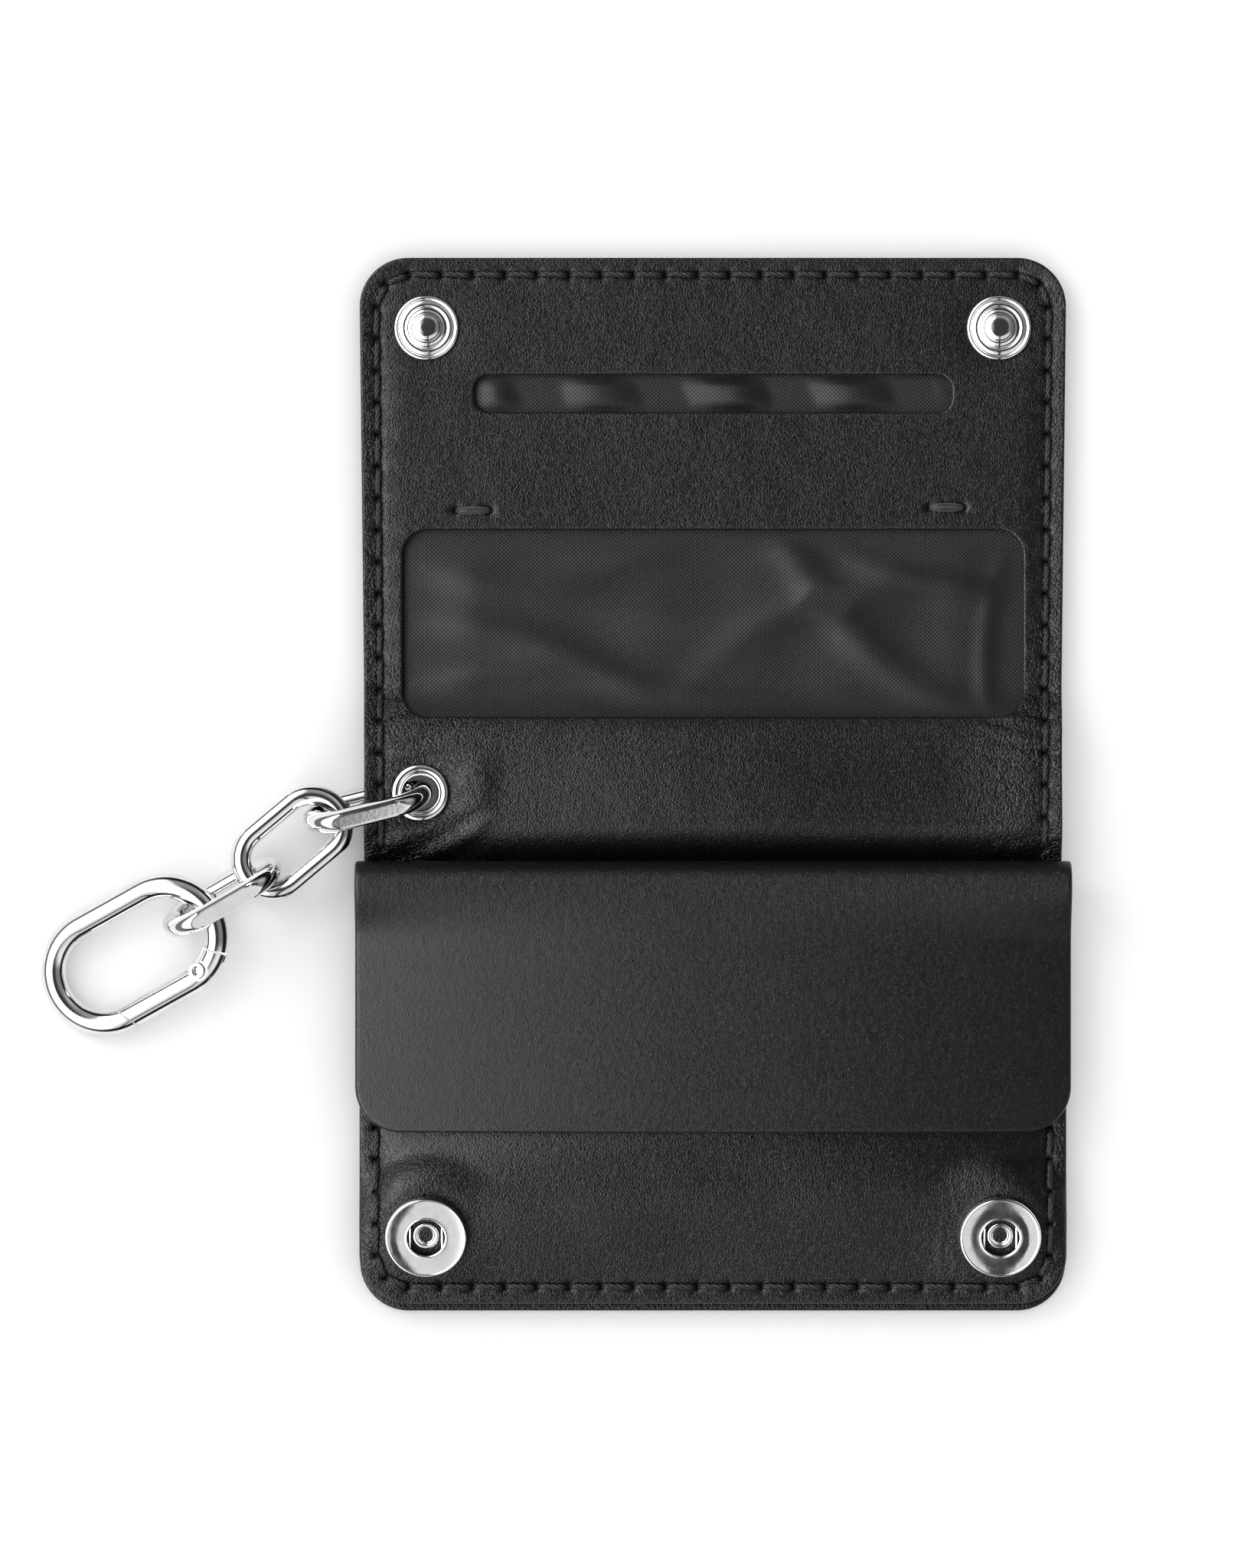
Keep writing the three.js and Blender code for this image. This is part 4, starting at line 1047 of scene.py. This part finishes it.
def snaps():
    for side in ("left", "right"):
        x, y, _ = STUDS[side]
        seat = corner(f"stud_{side}", 0)[2]
        at = Matrix.Translation((x, y, seat))
        stud = [(0, 0), (4.9, 0), (5.0, 0.16), (4.9, 0.36), (4.65, 0.46), (4.45, 0.42),
                (4.3, 0.3), (4.15, 0.3), (3.9, 0.44), (3.6, 0.5), (3.35, 0.46), (3.2, 0.36),
                (3.05, 0.38), (2.75, 0.6), (2.4, 0.72), (2.2, 0.7), (1.85, 0.95), (1.75, 1.15),
                (1.9, 1.38), (2.05, 1.55), (2.0, 1.7), (1.78, 1.84), (1.4, 1.94), (0.8, 1.99),
                (0, 2.0)]
        metal_piece(f"snap_stud_{side}", [turned(stud, at, radius=0.1, closed=False)], "upper",
                    f"stud_{side}")
        least, most = corner(f"stud_post_{side}", 0), corner(f"stud_post_{side}", 1)
        head, top = least[2], most[2]
        reach = (most[0] - least[0]) / 2
        post = [(0, head + 0.12), (0.9, head + 0.04), (reach * 0.55, head),
                (reach * 0.9, head + 0.1), (reach, head + 0.3), (reach * 0.98, head + 0.62),
                (1.1, head + 0.68), (1.1, top), (0, top)]
        upright = Matrix.Translation((x, y, 0))
        metal_piece(f"snap_post_{side}", [turned(post, upright, closed=False)], "upper",
                    f"stud_post_{side}")
        sx = math.copysign(SNAP_X, SOCKETS[side][0])
        seat = Matrix.Translation((sx, SOCKET_Y, SEAT_HEIGHT))
        tilt = seat @ Matrix.Rotation(CLOSED_WEDGE, 4, "X")
        socket = [(3.3, 0.02), (6.1, 0.02), (6.32, 0.3), (6.35, 0.9), (6.28, 1.4), (6.1, 1.66),
                  (5.95, 1.7), (5.85, 1.66), (5.8, 1.6), (3.2, 1.6), (3.06, 1.64), (2.96, 1.6),
                  (2.9, 1.4), (2.9, 1.15), (3.3, 1.1)]
        metal_piece(f"snap_socket_{side}", [turned(socket, tilt)], "lower", f"socket_{side}")
        low = corner(f"socket_cap_{side}", 0)[2]
        low_z = (low - SEAT_HEIGHT) / math.cos(CLOSED_WEDGE) + 1.25
        cap = [(0, low_z), (3.6, low_z), (4.0, low_z + 0.15), (4.0, low_z + 0.4),
               (3.7, low_z + 0.5), (1.5, low_z + 0.5), (1.45, 0.1), (1.95, 0.14), (2.05, 0.28),
               (1.9, 0.4), (1.5, 0.4), (1.3, 0.25), (1.2, 0.0), (0.5, -0.06), (0, -0.06)]
        metal_piece(f"snap_cap_{side}", [turned(cap, tilt, closed=False)], "lower",
                    f"socket_cap_{side}")
        for end, sign in (("inner", -1), ("outer", 1)):
            run = np.linspace(-1, 1, 31)
            wire = np.stack([sign * (2.45 + 0.1 * np.abs(run) ** 3), 3.7 * run,
                             0.95 + 0.0 * run], axis=1)
            points, faces = tube(wire, 0.17, 12)
            metal_piece(f"snap_spring_{side}_{end}", [(moved(points, tilt), faces)], "lower",
                        f"socket_spring_{side}_{end}")


def eyelet():
    low = corner("eyelet", 0)[2]
    top = corner("eyelet", 1)[2]
    base = top - 0.5
    reach, bore = EYELET_RADIUS, 2.65
    at = Matrix.Translation((*EYELET, 0))
    ring = [(bore, base - 0.1), (bore, base - 2.4), (bore, low + 0.3), (bore + 0.15, low),
            (bore + 0.35, low + 0.05), (bore + 0.25, low + 0.4), (bore + 0.25, base - 2.4),
            (bore + 0.3, base), (reach - 0.1, base), (reach, base + 0.12),
            (reach - 0.12, top - 0.14), (reach - 0.5, top - 0.02), (reach - 0.85, top - 0.06),
            (reach - 1.0, top - 0.16), (bore + 0.4, top - 0.1), (bore + 0.12, top - 0.22)]
    metal_piece("chain_eyelet", [turned(ring, at, radius=0.1)], "spine", "eyelet")
    low, high = corner("eyelet_washer", 0)[2], corner("eyelet_washer", 1)[2]
    outer = (corner("eyelet_washer", 1)[0] - corner("eyelet_washer", 0)[0]) / 2
    washer = [(bore + 0.55, low), (outer - 0.1, low), (outer, low + 0.15), (outer, high),
              (bore + 0.55, high)]
    metal_piece("chain_eyelet_washer", [turned(washer, at, radius=0.08)], "spine", "eyelet_washer")


LINK_LENGTH = 20.6
LINK_WIDTH = 12.1
LINK_WIRE = 1.6
LINK_FLAT = 0.45
EDGE_TILT = math.radians(15)
LINKS = (("link_1", -53.0, -3.8, 14, True), ("link_2", -64.6, -9.5, 40, False),
         ("link_3", -75.3, -17.8, 30, True))


def chain():
    """Three oval links with sides filed flat; the first and third stand on edge."""
    bend = (LINK_WIDTH + 2 * LINK_FLAT) / 2 - LINK_WIRE
    straight = LINK_LENGTH / 2 - LINK_WIRE - bend
    path = []
    for sign, start in ((1, -math.pi / 2), (-1, math.pi / 2)):
        for angle in np.linspace(start, start + math.pi, 49):
            path.append((sign * straight + bend * math.cos(angle), bend * math.sin(angle), 0))
    steps = []
    for a, b in zip(path, path[1:] + path[:1]):
        count = max(1, round(math.dist(a, b) / 0.35))
        steps += [tuple(np.array(a) + (np.array(b) - np.array(a)) * i / count)
                  for i in range(count)]
    points, faces = tube(steps, LINK_WIRE, 40, closed=True)
    flat = LINK_WIDTH / 2
    points[:, 1] = np.clip(points[:, 1], -flat, flat)
    for name, x, y, degrees, on_edge in LINKS:
        centre_z = (corner(name, 0)[2] + corner(name, 1)[2]) / 2
        turn = Matrix.Rotation(math.radians(degrees), 4, "Z")
        if on_edge:
            turn = turn @ Matrix.Rotation(math.pi / 2 + EDGE_TILT, 4, "X")
        place = Matrix.Translation((x, y, centre_z)) @ turn
        metal_piece(f"chain_{name}", [(moved(points, place), faces)], name, name, sharp=24)


RING_LENGTH = 30.7
RING_WIDTH = 19.7
RING_WIRE = 1.95
RING_PITCH = 7
RING_TURN = (Matrix.Rotation(math.radians(29), 4, "Z")
             @ Matrix.Rotation(math.radians(-RING_PITCH), 4, "Y"))
RING_BEND = RING_WIDTH / 2 - RING_WIRE
RING_STRAIGHT = (RING_LENGTH - RING_WIDTH) / 2
RIVET_ANGLE = math.radians(-73)
HINGE_ANGLE = math.radians(-45)
NOSE = (-5.5, -7.9)
NOSE_SLANT = 0.475
RIVET = (RING_STRAIGHT + (RING_BEND - 0.75) * math.cos(RIVET_ANGLE),
         (RING_BEND - 0.75) * math.sin(RIVET_ANGLE))
TONGUE = 1.3


def ring_placement():
    rise = (RING_LENGTH / 2 - RING_WIRE) * math.sin(math.radians(RING_PITCH))
    return Matrix.Translation((-88.8, -26.7, RING_WIRE + rise + 0.05)) @ RING_TURN


def prism(points, low, high):
    """A closed block over a flat outline."""
    n = len(points)
    rows = [(x, y, z) for z in (low, high) for x, y in points]
    faces = [tuple(range(n))[::-1], tuple(range(n, 2 * n))]
    faces += [(i, (i + 1) % n, (i + 1) % n + n, i + n) for i in range(n)]
    return np.array(rows), faces


def combine(target, tool, operation):
    """Cut, meet or join two scratch solids; the tool is used up."""
    modifier = target.modifiers.new("shape", "BOOLEAN")
    modifier.operation = operation
    modifier.solver = "EXACT"
    modifier.object = tool
    result = bpy.data.meshes.new_from_object(target.evaluated_get(
        bpy.context.evaluated_depsgraph_get()))
    target.modifiers.clear()
    target.data = result
    bpy.data.objects.remove(tool)
    return target


def ring_loop():
    bend, straight = RING_BEND, RING_STRAIGHT
    path = []
    for sign, start in ((1, -math.pi / 2), (-1, math.pi / 2)):
        for angle in np.linspace(start, start + math.pi, 61):
            path.append((sign * straight + bend * math.cos(angle), bend * math.sin(angle), 0))
    steps = []
    for a, b in zip(path, path[1:] + path[:1]):
        count = max(1, round(math.dist(a, b) / 0.5))
        steps += [tuple(np.array(a) + (np.array(b) - np.array(a)) * i / count)
                  for i in range(count)]
    return tube(steps, RING_WIRE, 48, closed=True)


def gate_region(gap):
    """The part of the ring that the gate takes, with its seams moved out by a gap."""
    def nose(y):
        return NOSE[0] - (y - NOSE[1]) * NOSE_SLANT - gap

    angle = HINGE_ANGLE + gap / RING_BEND
    low = -RING_WIDTH / 2 - 2
    high = -RING_BEND + 2 * RING_WIRE

    def ray(reach):
        return (RING_STRAIGHT + reach * math.cos(angle), reach * math.sin(angle))

    far = ray(RING_BEND + 3 * RING_WIRE)
    outline = [(nose(high), high), (nose(low), low), (far[0], low), far,
               ray(RING_BEND - 1.6 * RING_WIRE)]
    return prism(outline, -4, 4)


def tongue_outline(radius, reach):
    to_seam = (RING_STRAIGHT + RING_BEND * math.cos(HINGE_ANGLE) - RIVET[0],
               RING_BEND * math.sin(HINGE_ANGLE) - RIVET[1])
    along = math.atan2(to_seam[1], to_seam[0])
    c, s = math.cos(along), math.sin(along)
    outline = arc(*RIVET, radius, along + math.pi / 2, along + 1.5 * math.pi, 0.15)
    outline.append((RIVET[0] + radius * s + reach * c, RIVET[1] - radius * c + reach * s))
    outline.append((RIVET[0] - radius * s + reach * c, RIVET[1] + radius * c + reach * s))
    return outline


def disc(radius, low, high):
    turns = np.arange(40) * 2 * math.pi / 40
    outline = [(RIVET[0] + radius * math.cos(a), RIVET[1] + radius * math.sin(a)) for a in turns]
    return prism(outline, low, high)


def carabiner():
    """The ring and its gate, cut from one closed loop of wire, and the gate's rivet and spring."""
    def scratch(parts):
        return mesh_object("scratch", *parts)

    place = ring_placement()
    gap = 0.3
    seat = RING_WIRE - 0.4
    ring = ring_loop()
    frame_ring = combine(scratch(ring), scratch(gate_region(gap)), "DIFFERENCE")
    tongue = combine(scratch(prism(tongue_outline(1.6, 5), -TONGUE / 2, TONGUE / 2)),
                     scratch(ring), "INTERSECT")
    frame_ring = combine(frame_ring, tongue, "UNION")
    frame_ring = combine(frame_ring, scratch(disc(0.65 + gap, -4, 4)), "DIFFERENCE")
    half = TONGUE / 2 + gap
    gate = combine(scratch(ring), scratch(gate_region(0)), "INTERSECT")
    gate = combine(gate, scratch(prism(tongue_outline(1.6 + gap + 0.15, 8), -half, half)),
                   "DIFFERENCE")
    gate = combine(gate, scratch(disc(0.65 + gap, -4, 4)), "DIFFERENCE")
    gate = combine(gate, scratch(disc(1.3 + gap, seat, 4)), "DIFFERENCE")
    gate = combine(gate, scratch(disc(1.3 + gap, -4, -seat)), "DIFFERENCE")
    bore_x = RIVET[0] - 1.6 - 2 * gap
    bore = tube([(bore_x + 0.5 - t, -RING_BEND, 0) for t in np.linspace(-1, 4, 6)], 0.75, 24)
    gate = combine(gate, scratch(bore), "DIFFERENCE")
    for piece, name, body, node in ((frame_ring, "carabiner_ring", "carabiner", "carabiner_body"),
                                    (gate, "carabiner_gate", "gate", "gate")):
        points = np.empty(len(piece.data.vertices) * 3)
        piece.data.vertices.foreach_get("co", points)
        points = points.reshape(-1, 3) / MM
        points[:, 1] -= SPINE_Y / MM
        faces = [tuple(face.vertices) for face in piece.data.polygons]
        bpy.data.objects.remove(piece)
        metal_piece(name, [(moved(points, place), faces)], body, node, sharp=28)
    turns = 9
    t = np.linspace(0, 1, turns * 16)
    coil = np.stack([bore_x - 3 * t, -RING_BEND + 0.33 * np.cos(2 * math.pi * turns * t),
                     0.33 * np.sin(2 * math.pi * turns * t)], axis=1)
    points, faces = tube(coil, 0.1, 8)
    metal_piece("carabiner_gate_spring", [(moved(points, place), faces)], "gate", "gate_spring")
    head, foot = seat + 0.05, -seat - 0.05
    rivet = [(0, -RING_WIRE), (0.9, -RING_WIRE), (1.2, -RING_WIRE + 0.1), (1.3, foot - 0.05),
             (1.3, foot), (0.65, foot), (0.65, head), (1.3, head), (1.3, head + 0.2),
             (1.15, RING_WIRE - 0.02), (0.85, RING_WIRE), (0.62, RING_WIRE - 0.08),
             (0.5, RING_WIRE - 0.24), (0, RING_WIRE - 0.26)]
    at = place @ Matrix.Translation((*RIVET, 0))
    metal_piece("carabiner_rivet", [turned(rivet, at, radius=0.07, closed=False)], "carabiner",
                "gate_rivet")


# ---- stage ----
SENSOR = 36  # mm
VIEW_WIDTH = 0.2409  # m across the view at the wallet
VIEW_CENTRE = (-13.2, -0.5)
VIEW_HEIGHT = 4  # mm above the floor, where the view is VIEW_WIDTH across
FLOOR_REACH = 6.0
FLOOR_DROP = 0.0002


def area_light(name, place, aim, size, power):
    light = bpy.data.lights.new(name, "AREA")
    light.shape = "RECTANGLE"
    light.size, light.size_y = size
    light.energy = power
    lamp = bpy.data.objects.new(name, light)
    bpy.context.scene.collection.objects.link(lamp)
    lamp.location = place
    lamp.rotation_euler = (Vector(aim) - Vector(place)).to_track_quat("-Z", "Y").to_euler()
    return lamp


def sky():
    """A pale studio: bright overhead, darker toward the horizon for the metal to reflect."""
    settings = bpy.context.scene.wallet_stage
    world = bpy.data.worlds.new("studio")
    world.use_nodes = True
    tree = world.node_tree
    background = tree.nodes["Background"]
    direction = wire_up(tree, "ShaderNodeSeparateXYZ",
                        i0=tree.nodes.new("ShaderNodeTexCoord").outputs["Generated"])
    x, y, z = direction.outputs
    left = ramp(tree, x, -0.07, -0.6, 0.0, settings.side)
    right = ramp(tree, x, 0.25, 0.5, 0.0, 0.2)
    near = ramp(tree, y, -0.16, -0.4, 0.0, 0.8)
    gap = maths(tree, "ABSOLUTE", maths(tree, "SUBTRACT", x, 0.05))
    near = maths(tree, "MULTIPLY", near, ramp(tree, gap, 0.03, 0.045))
    far = ramp(tree, y, 0.2, 0.6, 0.0, 0.3)
    level = maths(tree, "ADD", maths(tree, "ADD", left, right), maths(tree, "ADD", near, far))
    level = maths(tree, "ADD", level, settings.overhead)
    level = maths(tree, "MULTIPLY", level, ramp(tree, z, 0.35, 0.6, 0.02, 1.0))
    ray = tree.nodes.new("ShaderNodeLightPath")
    reflected = maths(tree, "MULTIPLY", level, settings.reflections)
    level = mixed(tree, ray.outputs["Is Diffuse Ray"], reflected, (settings.fill,) * 3 + (1,))
    tree.links.new(level, background.inputs["Color"])
    world.cycles.sampling_method = "NONE"
    bpy.context.scene.world = world


def stage():
    settings = bpy.context.scene.wallet_stage
    scene = bpy.context.scene
    reach = FLOOR_REACH
    corners = [(-reach, -reach), (reach, -reach), (reach, reach), (-reach, reach)]
    mesh = bpy.data.meshes.new("floor")
    mesh.from_pydata([(x, y, -FLOOR_DROP) for x, y in corners], [], [(0, 1, 2, 3)])
    floor = bpy.data.objects.new("floor", mesh)
    scene.collection.objects.link(floor)
    mesh.materials.append(floor_material())
    sky()
    area_light("key light", (-0.62, SPINE_Y + 0.5, 0.75), (0, SPINE_Y, 0), (0.5, 0.5), settings.key)
    camera_data = bpy.data.cameras.new("camera")
    camera = bpy.data.objects.new("camera", camera_data)
    scene.collection.objects.link(camera)
    camera_data.sensor_width = SENSOR
    camera_data.lens = SENSOR * settings.distance / VIEW_WIDTH
    camera_data.clip_start = 0.05
    camera.location = in_row((*VIEW_CENTRE, VIEW_HEIGHT + settings.distance / MM))
    scene.camera = camera
    scene.view_settings.view_transform = "Standard"


def leathers():
    settings = bpy.context.scene.wallet_leather
    grain_group()
    leather_material("cover leather", 0.5, 0.06, settings.roughness, 1.0)
    leather_material("panel leather", settings.grain / MM, settings.depth / MM,
                     settings.roughness, 1.0)
    # Painted light: the coin pocket's and the flap's copies of the leather are made lighter (tone
    # 1.1 and 1.25) than the cover and the panel.
    leather_material("pocket leather", settings.grain / MM, settings.depth / MM,
                     settings.roughness, 1.1)
    leather_material("flap leather", 0.3, 0.04, settings.roughness + 0.02, 1.25)


# ---- the add-on ----
def tone(name, description, default):
    return FloatVectorProperty(name=name, description=description, subtype="COLOR", size=3,
                               min=0, max=1, default=default)


class LeatherSettings(bpy.types.PropertyGroup):
    colour: tone("Colour", "Base colour of the leather", (0.003, 0.003, 0.0031))
    grain: FloatProperty(name="Grain", description="Size of a pebble of the grain", unit="LENGTH",
                         min=0.0001, default=0.00042)
    depth: FloatProperty(name="Grain depth", description="Height of the grain", unit="LENGTH",
                         min=0, default=0.00005)
    roughness: FloatProperty(name="Roughness", description="Roughness of the leather's finish",
                             min=0, max=1, default=0.25)


class StitchingSettings(bpy.types.PropertyGroup):
    colour: tone("Colour", "Colour of the thread", (0.006, 0.006, 0.006))
    tack: tone("Tack colour", "Colour of the two bar tacks", (0.03, 0.03, 0.03))
    width: FloatProperty(name="Width", description="Width of the thread", unit="LENGTH",
                         min=0.0002, default=0.00092)


class LiningSettings(bpy.types.PropertyGroup):
    colour: tone("Colour", "Colour of the lining's yarns", (0.013, 0.013, 0.0135))
    weave: FloatProperty(name="Weave pitch", description="Spacing of the yarns in millimetres",
                         min=0.05, default=0.6)


class HardwareSettings(bpy.types.PropertyGroup):
    colour: tone("Colour", "Colour of the plating", (0.8, 0.8, 0.81))
    roughness: FloatProperty(name="Roughness", description="Roughness of the polish", min=0,
                             max=1, default=0.07)


class StageSettings(bpy.types.PropertyGroup):
    key: FloatProperty(name="Key light", description="Power of the light at the upper left",
                       unit="POWER", min=0, default=2)
    side: FloatProperty(name="Side", description="Brightness of the reflected left side", min=0,
                        default=10.0)
    overhead: FloatProperty(name="Overhead", description="Brightness reflected from overhead",
                            min=0, default=0.05)
    fill: FloatProperty(name="Fill", description="Brightness of the surroundings", min=0,
                        default=1.14)
    reflections: FloatProperty(name="Reflections", description="Brightness seen in the metal",
                               min=0, default=1.0)
    distance: FloatProperty(name="Camera distance", description="Height of the camera",
                            unit="LENGTH", min=0.5, default=1.2)


class WALLET_OT_materials(bpy.types.Operator):
    """Make the leathers, the threads, the lining and the plating"""
    bl_idname = "wallet.materials"
    bl_label = "Materials"

    def execute(self, context):
        leathers()
        weave_group()
        thread_material("waxed thread", context.scene.wallet_stitching.colour)
        thread_material("tack thread", context.scene.wallet_stitching.tack)
        cloth_material()
        metal_material("polished nickel", context.scene.wallet_hardware.roughness)
        return {"FINISHED"}


class WALLET_OT_cover(bpy.types.Operator):
    """Make the outer cover"""
    bl_idname = "wallet.cover"
    bl_label = "Outer cover"

    def execute(self, context):
        cover_pieces()
        return {"FINISHED"}


class WALLET_OT_panel(bpy.types.Operator):
    """Make the inner panel with the card slot and window"""
    bl_idname = "wallet.panel"
    bl_label = "Inner panel"

    def execute(self, context):
        panel_pieces()
        return {"FINISHED"}


class WALLET_OT_coin_pocket(bpy.types.Operator):
    """Make the coin pocket's front and its flap"""
    bl_idname = "wallet.coin_pocket"
    bl_label = "Coin pocket"

    def execute(self, context):
        coin_pocket_front()
        flap_pieces()
        return {"FINISHED"}


class WALLET_OT_lining(bpy.types.Operator):
    """Make the woven lining"""
    bl_idname = "wallet.lining"
    bl_label = "Lining"

    def execute(self, context):
        lining()
        return {"FINISHED"}


class WALLET_OT_stitching(bpy.types.Operator):
    """Sew the seams and the two bar tacks"""
    bl_idname = "wallet.stitching"
    bl_label = "Stitching"

    def execute(self, context):
        sew()
        tack("left")
        tack("right")
        return {"FINISHED"}


class WALLET_OT_snaps(bpy.types.Operator):
    """Make the snap studs and sockets and the eyelet"""
    bl_idname = "wallet.snaps"
    bl_label = "Snaps and eyelet"

    def execute(self, context):
        snaps()
        eyelet()
        return {"FINISHED"}


class WALLET_OT_chain(bpy.types.Operator):
    """Make the chain and the carabiner"""
    bl_idname = "wallet.chain"
    bl_label = "Chain"

    def execute(self, context):
        chain()
        carabiner()
        return {"FINISHED"}


class WALLET_OT_stage(bpy.types.Operator):
    """Make the floor, the lights and the camera"""
    bl_idname = "wallet.stage"
    bl_label = "Stage"

    def execute(self, context):
        stage()
        return {"FINISHED"}


class WALLET_PT_pieces(bpy.types.Panel):
    bl_label = "Chain wallet"
    bl_idname = "WALLET_PT_pieces"
    bl_space_type = "VIEW_3D"
    bl_region_type = "UI"
    bl_category = "Wallet"

    def draw(self, context):
        for operator in OPERATORS:
            self.layout.operator(operator.bl_idname)
        for name, group in SETTINGS.items():
            box = self.layout.box()
            for prop in group.__annotations__:
                box.prop(getattr(context.scene, name), prop)


OPERATORS = (WALLET_OT_materials, WALLET_OT_cover, WALLET_OT_panel, WALLET_OT_coin_pocket,
             WALLET_OT_lining, WALLET_OT_stitching, WALLET_OT_snaps, WALLET_OT_chain,
             WALLET_OT_stage)
SETTINGS = {"wallet_leather": LeatherSettings, "wallet_stitching": StitchingSettings,
            "wallet_lining": LiningSettings, "wallet_hardware": HardwareSettings,
            "wallet_stage": StageSettings}


def register():
    for group in SETTINGS.values():
        bpy.utils.register_class(group)
    for operator in OPERATORS:
        bpy.utils.register_class(operator)
    bpy.utils.register_class(WALLET_PT_pieces)
    for name, group in SETTINGS.items():
        setattr(bpy.types.Scene, name, PointerProperty(type=group))


def unregister():
    for name in SETTINGS:
        delattr(bpy.types.Scene, name)
    bpy.utils.unregister_class(WALLET_PT_pieces)
    for operator in reversed(OPERATORS):
        bpy.utils.unregister_class(operator)
    for group in SETTINGS.values():
        bpy.utils.unregister_class(group)


def main():
    register()
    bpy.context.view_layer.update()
    bpy.ops.wallet.materials()
    bpy.ops.wallet.cover()
    bpy.ops.wallet.panel()
    bpy.ops.wallet.coin_pocket()
    bpy.ops.wallet.lining()
    bpy.ops.wallet.stitching()
    bpy.ops.wallet.snaps()
    bpy.ops.wallet.chain()
    bpy.ops.wallet.stage()


if __name__ == "__main__":
    main()
